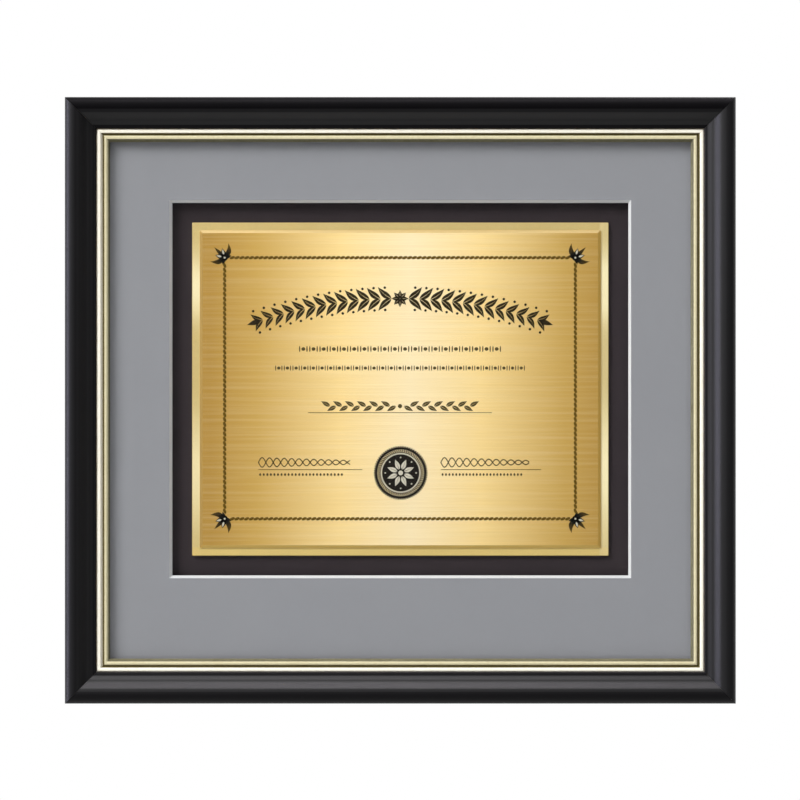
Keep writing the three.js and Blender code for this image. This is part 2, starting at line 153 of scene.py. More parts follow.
# Rings of the rib: inset as a share of its radius, and height as a share of its rise
RIB_CROWN = ((0, -0.2), (0, 0.2), (0.25, 0.7), (0.6, 1.0))
SCREW_HEAD_HEIGHT = 1.7 * MM
SCREW_RIM = 0.3
SCREW_SHANK = 1.5 * MM
SCREW_POINT = 2 * MM
SCREW_BLUNT = 0.05
DOME_STEPS = 8
RECESS_LENGTH = 3.4 * MM
RECESS_WIDTH = 0.8 * MM
RECESS_DEPTH = 0.9 * MM
RECESS_FLOOR, RECESS_MOUTH = 0.55, 1.1
STRAP_WIDTH = 8 * MM
STRAP_SHEET = 1 * MM
STRAP_LENGTH = 21.5 * MM
STRAP_SCREW_DROP = 16.5 * MM
STRAP_SEAM = 0.06 * MM
STRAP_STEPS = 24
RING_WIRE = 1 * MM
RING_HALF_WIDTH = 6 * MM
RING_DROP = 11 * MM
RING_CORNER = 1.4 * MM
BOW_STEPS, CORNER_STEPS, STRAIGHT_STEPS = 40, 6, 8
WIRE_SIDES = 16
BUMPER_ROUND = 1 * MM
BUMPER_STEPS = 6
LATHE_SIDES = 48
WELD = 0.001 * MM
SMOOTH_ANGLE = math.radians(32)
PLATE_CREASE = math.radians(8)

# Sides of the frame: turn about Y, the outer edge's place in half sizes, and the axis along it
SIDES = {
    "bottom": (0.0, (0, -1), "X"),
    "left": (TURN / 4, (-1, 0), "Z"),
    "top": (TURN / 2, (0, 1), "X"),
    "right": (-TURN / 4, (1, 0), "Z"),
}
SIDE_LENGTH = {"X": FRAME_WIDTH, "Z": FRAME_HEIGHT}


# Materials

SCREEN_WHITE = 255


def screen(red, green, blue):
    """A linear colour from 8-bit screen values."""
    colour = Color((red, green, blue)) / SCREEN_WHITE
    return (*colour.from_srgb_to_scene_linear(), 1.0)


class Tree:
    """A node tree with short calls to add nodes and join them."""

    def __init__(self, tree):
        self.tree = tree

    def add(self, kind, inputs=None, **settings):
        node = self.tree.nodes.new(kind)
        for name, value in settings.items():
            setattr(node, name, value)
        for key, value in (inputs or {}).items():
            self.give(node.inputs[key], value)
        return node

    def give(self, socket, value):
        if isinstance(value, bpy.types.NodeSocket):
            self.tree.links.new(value, socket)
        else:
            socket.default_value = value

    def math(self, operation, first, second=0.0, clamp=False):
        inputs = {0: first, 1: second}
        return self.add("ShaderNodeMath", inputs, operation=operation, use_clamp=clamp).outputs[0]

    def vector(self, operation, first, second=(0, 0, 0)):
        """A number worked out from one or two vectors."""
        inputs = {0: first, 1: second}
        return self.add("ShaderNodeVectorMath", inputs, operation=operation).outputs["Value"]

    def distance(self, value, place):
        """How far the value lies from a place."""
        return self.math("ABSOLUTE", self.math("SUBTRACT", value, place))

    def spread(self, value, low, high, to_low, to_high, kind="LINEAR"):
        """The value moved from one range to another, and held inside it."""
        names = ("Value", "From Min", "From Max", "To Min", "To Max")
        inputs = dict(zip(names, (value, low, high, to_low, to_high)))
        return self.add("ShaderNodeMapRange", inputs, interpolation_type=kind).outputs["Result"]

    def mix(self, factor, first, second):
        inputs = {"Factor": factor, "A": first, "B": second}
        return self.add("ShaderNodeMix", inputs, data_type="RGBA").outputs["Result"]

    def ramp(self, factor, stops):
        node = self.add("ShaderNodeValToRGB", {"Fac": factor})
        elements = node.color_ramp.elements
        while len(elements) < len(stops):
            elements.new(1.0)
        for element, (place, colour) in zip(elements, stops):
            element.position = place
            element.color = colour
        return node.outputs["Color"]

    def rays(self):
        """Whether the eye sees the ray, straight or through glass, and whether it is mirrored."""
        paths = self.add("ShaderNodeLightPath").outputs
        seen = self.math("MAXIMUM", paths["Is Camera Ray"], paths["Is Transmission Ray"])
        return seen, paths["Is Glossy Ray"]

    def surface(self, share, first, second):
        """Covers the material with the first shader, and the second by its share."""
        inputs = {0: share, 1: first.outputs[0], 2: second.outputs[0]}
        mixed = self.add("ShaderNodeMixShader", inputs)
        self.give(self.tree.nodes["Material Output"].inputs["Surface"], mixed.outputs[0])


# Where most of a noise lies
NOISE_RANGE = (0.3, 0.7)


class Finish(Tree):
    """A material on one Principled shader, patterned in the piece's own coordinates."""

    def __init__(self, name, roughness=0.5, metallic=0.0, specular=0.5):
        self.material = bpy.data.materials.new(name)
        self.material.use_nodes = True
        super().__init__(self.material.node_tree)
        self.shader = self.tree.nodes["Principled BSDF"]
        self.sockets = self.shader.inputs
        self.sockets["Roughness"].default_value = roughness
        self.sockets["Metallic"].default_value = metallic
        self.sockets["Specular IOR Level"].default_value = specular
        self.place = self.add("ShaderNodeTexCoord").outputs["Object"]

    def axes(self):
        """The place across and up the piece."""
        node = self.add("ShaderNodeSeparateXYZ", {"Vector": self.place})
        return node.outputs["X"], node.outputs["Z"]

    def facing(self, direction):
        """How far a face turns towards the direction."""
        normal = self.add("ShaderNodeNewGeometry").outputs["True Normal"]
        return self.vector("DOT_PRODUCT", normal, direction)

    def noise(self, size, stretch=(1, 1, 1), detail=3.0):
        """Noise whose grains measure about size, times the stretch along each axis."""
        shrink = [1 / (size * share) for share in stretch]
        mapping = self.add("ShaderNodeMapping", {"Vector": self.place, "Scale": shrink})
        inputs = {"Vector": mapping.outputs["Vector"], "Scale": 1.0, "Detail": detail}
        return self.add("ShaderNodeTexNoise", inputs).outputs["Fac"]

    def colour(self, value):
        self.tone = value
        self.give(self.sockets["Base Color"], value)

    def stain(self, mask, low, high, share, colour):
        """Takes up to a share of another colour as the mask climbs from low to high."""
        self.colour(self.mix(self.spread(mask, low, high, 0.0, share), self.tone, colour))

    def rough(self, value, low, high):
        self.give(self.sockets["Roughness"], self.spread(value, *NOISE_RANGE, low, high))

    def bump(self, height, depth, strength):
        inputs = {"Height": height, "Distance": depth, "Strength": strength}
        node = self.add("ShaderNodeBump", inputs)
        self.give(self.sockets["Normal"], node.outputs["Normal"])


GRAIN = {"X": (40, 1, 1), "Z": (1, 1, 40)}
SATIN_SHEEN = 0.36
# Painted sheen and shade: the lip's and the crest's sheens differ from side to side, standing in for how the
# light falls on each rail and for shade along the lip
SHADED_SHEEN = {"bottom": 0.17, "left": 0.17, "top": 0.1, "right": 0.24}
CREST_PAINTED_SHEEN = {"bottom": 0.15, "left": 0.22, "top": 0.045, "right": 0.33}


def lacquer(name, axis, specular):
    """Black satin lacquer on wood, with the grain just showing along the rail."""
    finish = Finish(name, specular=specular)
    grain = finish.noise(0.5 * MM, GRAIN[axis])
    cloud = finish.noise(30 * MM)
    finish.colour(finish.mix(cloud, screen(7, 6, 8), screen(11, 10, 12)))
    finish.rough(grain, 0.44, 0.5)
    finish.bump(grain, 0.02 * MM, 0.35)
    return finish.material


WOOD_TONES = ((0.32, (0.47, 0.31, 0.17, 1)), (0.5, (0.62, 0.44, 0.27, 1)), (0.7, (0.7, 0.53, 0.35, 1)))


def bare_wood(axis):
    """Pale wood with growth lines and fine pores along the rail."""
    finish = Finish("bare_wood_" + axis, specular=0.3)
    growth = finish.noise(2.4 * MM, GRAIN[axis], 4.0)
    pores = finish.noise(0.25 * MM, GRAIN[axis])
    finish.colour(finish.ramp(growth, WOOD_TONES))
    finish.stain(pores, 0.55, 0.75, 0.45, (0.36, 0.23, 0.12, 1))
    finish.rough(growth, 0.62, 0.8)
    finish.bump(pores, 0.06 * MM, 0.5)
    return finish.material


def gilding(name, bright, deep, metallic, roughness):
    """Gilded finish with a faint mottle of leaf and worn places."""
    finish = Finish(name, metallic=metallic, specular=0.1)
    mottle = finish.noise(1.6 * MM)
    wear = finish.noise(14 * MM)
    finish.colour(bright)
    finish.stain(mottle, 0.35, 0.75, 0.5, deep)
    finish.stain(wear, 0.5, 0.8, 0.35, deep)
    finish.rough(mottle, roughness - 0.06, roughness + 0.08)
    finish.bump(mottle, 0.01 * MM, 0.15)
    return finish.material


FORWARDS = (0, -1, 0)
FACE_TURN = 0.9


def mat_paper():
    """Grey paper face with fine fibres, and the white core on the bevel."""
    finish = Finish("grey_mat", roughness=0.92, specular=0.2)
    fibre = finish.noise(0.35 * MM, (3, 1, 1))
    cloud = finish.noise(45 * MM)
    finish.colour(finish.mix(fibre, screen(137, 137, 142), screen(145, 145, 150)))
    finish.stain(cloud, 0.3, 0.7, 0.25, screen(136, 136, 142))
    core = finish.mix(fibre, screen(200, 200, 203), screen(210, 210, 213))
    is_face = finish.math("GREATER_THAN", finish.facing(FORWARDS), FACE_TURN)
    finish.colour(finish.mix(is_face, core, finish.tone))
    finish.bump(fibre, 0.03 * MM, 0.4)
    return finish.material


def paper(name, dark, light, grain, specular=0.2):
    """Plain board or paper with a fine fibre."""
    finish = Finish(name, specular=specular)
    fibre = finish.noise(grain, (3, 3, 1))
    cloud = finish.noise(30 * MM)
    finish.colour(finish.mix(fibre, dark, light))
    finish.stain(cloud, 0.4, 0.7, 0.3, dark)
    finish.rough(fibre, 0.82, 0.95)
    finish.bump(fibre, 0.04 * MM, 0.5)
    return finish.material


WIRE_PITCH = 1.7 * MM
FIBRE_TONES = ((0.3, (0.2, 0.108, 0.05, 1)), (0.7, (0.3, 0.172, 0.085, 1)))


def hardboard():
    """Brown fibreboard with the imprint of its wire screen."""
    finish = Finish("hardboard", specular=0.25)
    fibre = finish.noise(0.3 * MM, (5, 1, 2), 5.0)
    flecks = finish.noise(0.45 * MM, (6, 1, 1.5))
    cloud = finish.noise(70 * MM)
    finish.colour(finish.ramp(fibre, FIBRE_TONES))
    finish.stain(flecks, 0.6, 0.76, 0.45, (0.12, 0.06, 0.028, 1))
    finish.stain(cloud, 0.35, 0.7, 0.2, (0.2, 0.11, 0.055, 1))
    finish.rough(fibre, 0.5, 0.66)
    turns = [finish.math("MULTIPLY", way, TURN / WIRE_PITCH) for way in finish.axes()]
    wires = [finish.math("SINE", turn) for turn in turns]
    weave = finish.math("ADD", finish.math("MULTIPLY", *wires), fibre)
    finish.bump(weave, 0.05 * MM, 0.4)
    return finish.material


BRUSHING = 0.95
# Painted highlight: the plate's colour pales from the gold's own deep tone at the sides to a band down the
# middle
PAINTED_HIGHLIGHT_PLACE = 6.5 * MM
PAINTED_HIGHLIGHT_REACH = 122 * MM
PAINTED_HIGHLIGHT_TONES = (
    (0.0, (1.0, 0.83, 0.52, 1)), (0.35, (0.98, 0.73, 0.32, 1)),
    (0.77, (0.655, 0.41, 0.1, 1)), (1.0, (0.54, 0.31, 0.06, 1)),
)


def brushed_gold(map_name):
    """Gold plate brushed along X: fine streaks, a highlight drawn out up and down, and a painted highlight
    where the colour pales towards a band down the middle.
    """
    finish = Finish("brushed_gold", metallic=0.85)
    across, _ = finish.axes()
    reach = finish.distance(across, PAINTED_HIGHLIGHT_PLACE)
    finish.colour(finish.ramp(finish.spread(reach, 0.0, PAINTED_HIGHLIGHT_REACH, 0.0, 1.0), PAINTED_HIGHLIGHT_TONES))
    streak = finish.noise(0.35 * MM, (160, 1, 1))
    broad = finish.noise(2.2 * MM, (50, 1, 1))
    finish.stain(streak, 0.3, 0.7, 0.22, (0.62, 0.42, 0.14, 1))
    finish.stain(broad, 0.45, 0.75, 0.14, (1.0, 0.9, 0.65, 1))
    finish.rough(streak, 0.42, 0.5)
    finish.sockets["Anisotropic"].default_value = BRUSHING
    tangent = finish.add("ShaderNodeTangent", direction_type="UV_MAP", uv_map=map_name)
    finish.give(finish.sockets["Tangent"], tangent.outputs["Tangent"])
    finish.bump(streak, 0.004 * MM, 0.3)
    return finish.material


# Painted glints: height on the plate, reach up and down, and strength
PAINTED_GLINTS = ((69 * MM, 33 * MM, 1.0), (-43 * MM, 58 * MM, 0.75))
PAINTED_GLINT_START = 121.5 * MM
# Painted light on the right strip, and painted shade in a deeper, less metallic bottom strip
RIGHT_PAINTED_LIGHT = 0.28
BOTTOM_STRIP = (-89.5 * MM, -90 * MM)
BOTTOM_PAINTED_SHADE = 0.22
PLAIN_METALLIC, PAINTED_METALLIC = 0.85, 0.2
HAND_MARK = (0.4 * MM, (8, 1, 8))


def satin_gold():
    """Polished gold with faint hand marks, painted glints down both sides, painted light on the right strip
    and painted shade on the bottom strip.
    """
    finish = Finish("satin_gold")
    cloud = finish.noise(20 * MM)
    rub = finish.noise(*HAND_MARK)
    finish.colour(finish.mix(cloud, (0.93, 0.7, 0.27, 1), (0.97, 0.77, 0.34, 1)))
    finish.stain(rub, 0.5, 0.8, 0.2, (0.8, 0.58, 0.22, 1))
    across, up = finish.axes()
    # Painted light: the glint bands and the right strip take a paler colour and less metal, and the bottom
    # strip takes a deeper colour as painted shade
    painted_glint = finish.math("MULTIPLY", finish.math("GREATER_THAN", across, 0.0), RIGHT_PAINTED_LIGHT)
    for place, reach, level in PAINTED_GLINTS:
        bell = finish.spread(finish.distance(up, place), reach, 0.0, 0.0, level, "SMOOTHSTEP")
        painted_glint = finish.math("ADD", painted_glint, bell)
    aside = finish.math("GREATER_THAN", finish.math("ABSOLUTE", across), PAINTED_GLINT_START)
    painted_glint = finish.math("MULTIPLY", painted_glint, aside, clamp=True)
    below = finish.spread(up, *BOTTOM_STRIP, 0.0, 1.0)
    finish.colour(finish.mix(below, finish.tone, (0.98, 0.73, 0.26, 1)))
    finish.colour(finish.mix(painted_glint, finish.tone, (1.0, 0.87, 0.52, 1)))
    painted_light_share = finish.math("MAXIMUM", painted_glint, finish.math("MULTIPLY", below, BOTTOM_PAINTED_SHADE))
    finish.give(finish.sockets["Metallic"], finish.spread(painted_light_share, 0.0, 1.0, PLAIN_METALLIC, PAINTED_METALLIC))
    finish.rough(rub, 0.42, 0.5)
    return finish.material


# Painted light and shade on the bevels: the tone follows the way each bevel faces
BEVEL_PAINTED_LIGHT = (-0.3, 0.0, 1.0)
BEVEL_TURN = 0.28
BEVEL_PAINTED_TONES = (
    (0.0, (0.56, 0.365, 0.085, 1)), (0.35, (0.5, 0.3, 0.055, 1)),
    (0.65, (0.41, 0.245, 0.055, 1)), (1.0, (0.68, 0.48, 0.2, 1)),
)


def bevel_gold():
    """Cut edge of the plate: satin gold in painted light and shade, paler where a bevel faces up and to the
    left.
    """
    finish = Finish("bevel_gold", roughness=0.45, metallic=0.3)
    side = finish.spread(finish.facing(BEVEL_PAINTED_LIGHT), -BEVEL_TURN, BEVEL_TURN, 0.0, 1.0)
    rub = finish.noise(*HAND_MARK)
    finish.colour(finish.ramp(side, BEVEL_PAINTED_TONES))
    finish.stain(rub, 0.5, 0.8, 0.1, (0.5, 0.36, 0.14, 1))
    return finish.material


def fill(name, dark, light):
    """Enamel that fills the engraving."""
    finish = Finish(name, specular=0.1)
    cloud = finish.noise(0.6 * MM)
    finish.colour(finish.mix(cloud, dark, light))
    finish.rough(cloud, 0.4, 0.6)
    return finish.material


def plated(name, light, dark, roughness):
    """Plated sheet metal or wire with small scratches and dulled places."""
    finish = Finish(name, metallic=1.0)
    scratch = finish.noise(0.15 * MM, (6, 1, 1))
    dull = finish.noise(2.5 * MM)
    finish.colour(light)
    finish.stain(dull, 0.35, 0.7, 0.7, dark)
    finish.rough(dull, roughness, roughness + 0.14)
    finish.bump(scratch, 0.01 * MM, 0.4)
    return finish.material


def rubber():
    """Matt black rubber with a fine moulded grain."""
    finish = Finish("bumper_rubber", specular=0.3)
    grain = finish.noise(0.2 * MM)
    finish.colour(finish.mix(grain, (0.016, 0.016, 0.017, 1), (0.032, 0.032, 0.034, 1)))
    finish.rough(grain, 0.68, 0.85)
    finish.bump(grain, 0.03 * MM, 0.5)
    return finish.material


# Share of the light that the glass mirrors, straight on and at a glance
GLASS_MIRROR = (0.006, 0.5)
GLANCE_POWER = 5.0


def clear_glass():
    """Low-reflection picture glass: light passes straight, and a little is mirrored."""
    material = bpy.data.materials.new("clear_glass")
    material.use_nodes = True
    tree = Tree(material.node_tree)
    tree.tree.nodes.remove(tree.tree.nodes["Principled BSDF"])
    facing = tree.add("ShaderNodeLayerWeight", {"Blend": 0.5}).outputs["Facing"]
    glance = tree.math("POWER", facing, GLANCE_POWER)
    share = tree.spread(glance, 0.0, 1.0, *GLASS_MIRROR)
    clear = tree.add("ShaderNodeBsdfTransparent", {"Color": (0.985, 0.99, 0.987, 1)})
    mirror = tree.add("ShaderNodeBsdfGlossy", {"Color": (1, 1, 1, 1), "Roughness": 0.03})
    tree.surface(share, clear, mirror)
    return material


# Mesh building

def add_object(name, data):
    """An object of the scene that shows a mesh, a lamp or a camera."""
    made = bpy.data.objects.new(name, data)
    bpy.context.scene.collection.objects.link(made)
    return made


def loft(rings, closed=False):
    """Vertices and faces of a skin through rings of equal length, with end caps unless closed."""
    count = len(rings[0])
    vertices = [tuple(point) for ring in rings for point in ring]
    faces = []
    spans = len(rings) if closed else len(rings) - 1
    for i in range(spans):
        here = i * count
        there = (i + 1) % len(rings) * count
        for j in range(count):
            k = (j + 1) % count
            faces.append((here + j, here + k, there + k, there + j))
    if not closed:
        faces.append(tuple(range(count)))
        faces.append(tuple(spans * count + j for j in range(count)))
    return vertices, faces


def new_object(name, shape, materials=(), kinds=None):
    """A mesh object with its faces turned outwards; kinds gives each face its material."""
    mesh = bpy.data.meshes.new(name)
    mesh.from_pydata(shape[0], [], shape[1])
    if kinds:
        mesh.polygons.foreach_set("material_index", kinds)
    work = bmesh.new()
    work.from_mesh(mesh)
    bmesh.ops.recalc_face_normals(work, faces=work.faces)
    work.to_mesh(mesh)
    work.free()
    for material in materials:
        mesh.materials.append(material)
    return add_object(name, mesh)


def combine(target, tool, operation):
    """Cuts the tool from the target, or joins or intersects them, and removes the tool."""
    step = target.modifiers.new(operation, "BOOLEAN")
    step.operation = operation
    step.solver = "EXACT"
    step.object = tool
    view = bpy.context.evaluated_depsgraph_get()
    result = bpy.data.meshes.new_from_object(target.evaluated_get(view))
    target.modifiers.clear()
    target.data = result
    bpy.data.objects.remove(tool)


def settle(made, body, slot, *nodes, crease=SMOOTH_ANGLE):
    """Smooths the piece, hangs it on its body and hides the solids that it stands for; the slot is not used.
    """
    made.data.shade_smooth()
    made.data.set_sharp_from_angle(angle=crease)
    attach(made, body)
    if nodes:
        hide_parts(*nodes)


def grown_copies(names, kind):
    """One object of the named solids, swollen by the cutting fit, to make room for them."""
    work = bmesh.new()
    for name in names:
        work.from_mesh(NODES[name].data)
    bmesh.ops.remove_doubles(work, verts=work.verts, dist=WELD)
    bmesh.ops.recalc_face_normals(work, faces=work.faces)
    work.normal_update()
    moves = [vertex.normal * vertex.calc_shell_factor() * CUT_FIT for vertex in work.verts]
    for vertex, move in zip(work.verts, moves):
        vertex.co += move
    for face in work.faces:
        face.material_index = kind
    mesh = bpy.data.meshes.new("room")
    work.to_mesh(mesh)
    work.free()
    return add_object("room", mesh)


def arc(x, y, radius, first, last, steps, rise=None):
    """Points about (x, y) from one angle to another, on an oval if it has a rise of its own."""
    angles = [first + (last - first) * i / steps for i in range(steps + 1)]
    up = radius if rise is None else rise
    return [(x + radius * math.cos(angle), y + up * math.sin(angle)) for angle in angles]


def circle(radius, sides=LATHE_SIDES):
    return arc(0, 0, radius, 0, TURN, sides)[:-1]


def lathe(profile, centre):
    """A solid turned about Y through the centre, from (radius, y) pairs."""
    x, z = centre
    return loft([[(x + a, y, z + b) for a, b in circle(radius)] for radius, y in profile])


def rounded_rectangle(width, height, radius):
    """Points of a rectangle with round corners about the origin."""
    points = []
    for quarter, (side, up) in enumerate(((1, 1), (-1, 1), (-1, -1), (1, -1))):
        centre = (side * (width / 2 - radius), up * (height / 2 - radius))
        points += arc(*centre, radius, TURN / 4 * quarter, TURN / 4 * (quarter + 1), EDGE_STEPS)
    return points


def rounded_edge(radius, low, high):
    """(inset, y) pairs of a slab's side from low to high, with both edges rounded."""
    first = arc(radius, low + radius, radius, -TURN / 4, -TURN / 2, EDGE_STEPS)
    return first + [(inset, high + low - y) for inset, y in reversed(first)]


# Moulding and slip

class Section:
    """A closed cross-section of (inwards, forwards) points, with a material for each stretch."""

    def __init__(self, inwards, forwards):
        self.points = [(inwards, forwards)]
        self.kinds = []

    def line(self, inwards, forwards, kind):
        self.points.append((inwards, forwards))
        self.kinds.append(kind)

    def curve(self, first, second, end, kind):
        """A cubic curve to the end, led by two handles."""
        start = self.points[-1]
        for step in range(1, CURVE_STEPS + 1):
            t = step / CURVE_STEPS
            s = 1 - t
            weights = (s * s * s, 3 * s * s * t, 3 * s * t * t, t * t * t)
            corners = (start, first, second, end)
            self.line(*[sum(w * c[i] for w, c in zip(weights, corners)) for i in (0, 1)], kind)

    def flow(self, inwards, forwards, slope, end_slope, kind):
        """A smooth run outwards to the point, from one steepness to another."""
        start = self.points[-1]
        third = (start[0] - inwards) / 3
        first = (start[0] - third, start[1] + slope * third)
        second = (inwards + third, forwards - end_slope * third)
        self.curve(first, second, (inwards, forwards), kind)

    def bead(self, centre, base, half, rise, kinds):
        """A bead with a broad top, from its inner flank to its outer one, each with its own material."""
        inner, top, outer = kinds
        for step in range(1, CURVE_STEPS + 1):
            share = math.cos(TURN / 2 * step / CURVE_STEPS)
            forwards = base + rise * (1 - share ** BEAD_FLATNESS)
            kind = inner if share > INNER_FLANK else outer if share < OUTER_FLANK else top
            self.line(centre + half * share, forwards, kind)

    def closed(self, kind):
        self.kinds.append(kind)
        return self


def rail_section():
    width = RAIL_WIDTH
    back_width = RAIL_WIDTH - RABBET_WIDTH
    ledge = RAIL_DEPTH - CREST_RISE
    top = RAIL_DEPTH
    wall = ledge + WALL_RISE
    lip = ledge + LIP_RISE
    shelf = LIP_SHARE * width
    section = Section(ARRIS, 0)
    section.line(back_width, 0, WOOD)
    section.line(back_width, ledge, WOOD)
    section.line(width - LIP_TRIM, ledge, WOOD)
    section.line(width - LIP_TRIM, lip - (width - shelf), SHADED)
    section.line(shelf, lip, SHADED)
    for (_, _, slope, _), (share, rise, end_slope, kind) in zip(SLOPE_KNOTS, SLOPE_KNOTS[1:]):
        section.flow(share * width, ledge + rise, slope, end_slope, kind)
    shoulder = wall + SHOULDER_PULL * (top - wall)
    section.curve((SHOULDER_SHARE * width, top), (0, shoulder), (0, wall), CREST_PAINTED)
    section.line(0, ARRIS, CREST_PAINTED)
    return section.closed(CREST_PAINTED)


def slip_section(slope_kind, fine_kinds, wall_kind, broad_kinds):
    sight = SLIP_HIGH.z - RAIL_LOW.z
    tail = SLIP_LOW.z - RAIL_LOW.z
    start = RAIL_WIDTH - LIP_TRIM + SLIP_FIT
    reveal = sight - RAIL_WIDTH
    back = RAIL_BACK - SLIP_HIGH.y
    front = back + SLIP_TAIL
    broad = BROAD_BEAD_SHARE * reveal
    fine = FINE_BEAD_SHARE * reveal
    fine_end = sight - SLOPE_SHARE * reveal
    groove = (start + broad + fine_end - fine) / 2
    foot = Vector((sight, back + SIGHT_EDGE))
    section = Section(tail, back)
    section.line(sight, back, RAW)
    section.line(*foot, SLOPE)
    section.line(*foot.lerp((fine_end, front), SLOPE_SPLIT), SLOPE)
    section.line(fine_end, front, slope_kind)
    section.bead(fine_end - fine / 2, front, fine / 2, FINE_BEAD_RISE, fine_kinds)
    section.line(groove, front - SLIP_GROOVE, GROOVE)
    section.line(start + broad, front, wall_kind)
    section.bead(start + broad / 2, front, broad / 2, BROAD_BEAD_RISE, broad_kinds)
    section.line(tail, front, RAW)
    return section.closed(RAW)


def mitred_strip(name, section, side, materials, end_kind):
    """A strip along one side of the frame with both ends cut at 45 degrees."""
    turn, (x, z), axis = SIDES[side]
    shift = Matrix.Translation((x * FRAME_WIDTH / 2, 0, z * FRAME_HEIGHT / 2))
    place = shift @ Matrix.Rotation(turn, 4, "Y")
    half = SIDE_LENGTH[axis] / 2 - MITRE_GAP
    rings = []
    for end in (-1, 1):
        ring = [Vector((end * (half - u), RAIL_BACK - v, u)) for u, v in section.points]
        rings.append([place @ point for point in ring])
    return new_object(name, loft(rings), materials, section.kinds + [end_kind, end_kind])


def build_rail(side, wood):
    """A rail in its lacquers, with painted sheen and shade set for its side, and with room for its nails and
    screws.
    """
    crest_sheen = CREST_PAINTED_SHEEN[side]
    half = (SATIN_SHEEN + crest_sheen) / 2
    sheens = {"black": SATIN_SHEEN, "half": half, "crest_sheen": crest_sheen, "shaded": SHADED_SHEEN[side]}
    finishes = [lacquer(f"{name}_lacquer_{side}", SIDES[side][2], sheen) for name, sheen in sheens.items()]
    rail = mitred_strip("moulding_" + side, rail_section(), side, [*finishes, wood], WOOD)
    fixings = [name for name in NODES if name.startswith("v_nail_") and side in name]
    fixings += [name for name in NODES if "screw_" + side in name]
    combine(rail, grown_copies(fixings, WOOD), "DIFFERENCE")
    settle(rail, "frame", "black_moulding", "rail_" + side)


def build_frame():
    wood = {axis: bare_wood(axis) for axis in GRAIN}
    # The groove's and the slope's gilt are painted dark: painted shade in the slip's recesses. The broad
    # bead's near-white cream is partly its own pale gilt and partly a painted reflection of the white room
    cream = gilding("gilt_cream", screen(250, 246, 232), screen(240, 232, 208), 0.0, 0.5)
    groove = gilding("gilt_groove", screen(100, 90, 54), screen(68, 60, 32), 0.2, 0.5)
    gold = gilding("gilt_gold", screen(218, 210, 175), screen(203, 191, 149), 0.15, 0.5)
    slope = gilding("gilt_slope", screen(106, 103, 80), screen(78, 74, 54), 0.3, 0.45)
    for side, (_, _, axis) in SIDES.items():
        build_rail(side, wood[axis])
        section = slip_section(*(LEFT_SLIP if side == "left" else PLAIN_SLIP))
        finishes = (cream, groove, gold, slope, wood[axis])
        slip = mitred_strip("gilt_slip_" + side, section, side, finishes, RAW)
        settle(slip, "frame", "gilt_slip", "slip_" + side)


# Plates

BRUSH_MAP = "brush"


def plate(name, node, bevel, face, edge, slot):
    """A sheet of metal with bevelled edges, where its solid lies."""
    low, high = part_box(node)
    middle = (low + high) / 2
    width, depth = bevel
    rings = []
    for inset, y in ((0, high.y), (0, low.y + depth), (width, low.y)):
        outline = rounded_rectangle(high.x - low.x - 2 * inset, high.z - low.z - 2 * inset, PLATE_CORNER)
        rings.append([(middle.x + x, y, middle.z + z) for x, z in outline])
    kinds = [1] * (2 * len(rings[0])) + [0, 0]
    made = new_object(name, loft(rings), [face, edge], kinds)
    layer = made.data.uv_layers.new(name=BRUSH_MAP)
    for loop, texel in zip(made.data.loops, layer.data):
        point = made.data.vertices[loop.vertex_index].co
        texel.uv = (point.z, point.x)
    settle(made, "frame", slot, node, crease=PLATE_CREASE)


def build_plates():
    edge = bevel_gold()
    plate("base_plate_metal", "base_plate", PLATE_EDGE, satin_gold(), edge, "polished_brass")
    plate("face_plate_metal", "face_plate", FACE_BEVEL, brushed_gold(BRUSH_MAP), edge, "brushed_brass")


# Engraving: outlines lie in the plate's plane, about its centre

FACE_LOW, FACE_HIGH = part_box("face_plate")
MARKS_SHIFT = Vector((-0.2 * MM, 0, 0.58 * MM))
MARKS_MIDDLE = (FACE_LOW + FACE_HIGH) / 2 + MARKS_SHIFT
DOT_SIDES = 12
SMALL_SIDES = 8
LEAF_STEPS = 8
LEAF_BELLY = 0.8
LEAF_SWELL, LEAF_TAPER = 1.15, 0.3
LEAF_EDGE = 0.02 * MM


def turned(points, angle, x, z):
    """The points turned about the origin, and then moved to (x, z)."""
    c, s = math.cos(angle), math.sin(angle)
    return [(x + c * a - s * b, z + s * a + c * b) for a, b in points]


def beyond(x, z, distance, angle):
    """The place at a distance from (x, z), in the angle's direction."""
    return turned([(distance, 0)], angle, x, z)[0]


def centres(length, count):
    """Middles of equal parts of a length, about zero."""
    return [length * ((i + 0.5) / count - 0.5) for i in range(count)]


def sideways(side):
    """The angle that points to the right, or to the left for a side of -1."""
    return 0.0 if side > 0 else TURN / 2


def ellipse(x, z, along, across, angle=0.0, shear=0.0, sides=DOT_SIDES):
    points = [(along * a + shear * across * b, across * b) for a, b in circle(1.0, sides)]
    return turned(points, angle, x, z)


def dot(x, z, radius, sides=DOT_SIDES):
    return ellipse(x, z, radius, radius, sides=sides)


def bar(x, z, length, thickness, angle=0.0):
    a, b = length / 2, thickness / 2
    return turned([(-a, -b), (a, -b), (a, b), (-a, b)], angle, x, z)


def leaf(x, z, length, width, angle, bend=0.0, rib=0.0):
    """A pointed leaf in two halves, either side of a fine rib, bent to one side."""
    for side in (-1, 1):
        inner, outer = [], []
        for step in range(LEAF_STEPS + 1):
            t = step / LEAF_STEPS
            spine = bend * math.sin(TURN / 2 * t)
            swell = width / 2 * math.sin(TURN / 2 * t ** LEAF_BELLY) * (LEAF_SWELL - LEAF_TAPER * t)
            open_rib = rib / 2 * (1 - t)
            inner.append((length * t, spine + side * open_rib))
            outer.append((length * t, spine + side * max(swell, open_rib + LEAF_EDGE)))
        yield turned(inner + outer[::-1], angle, x, z)


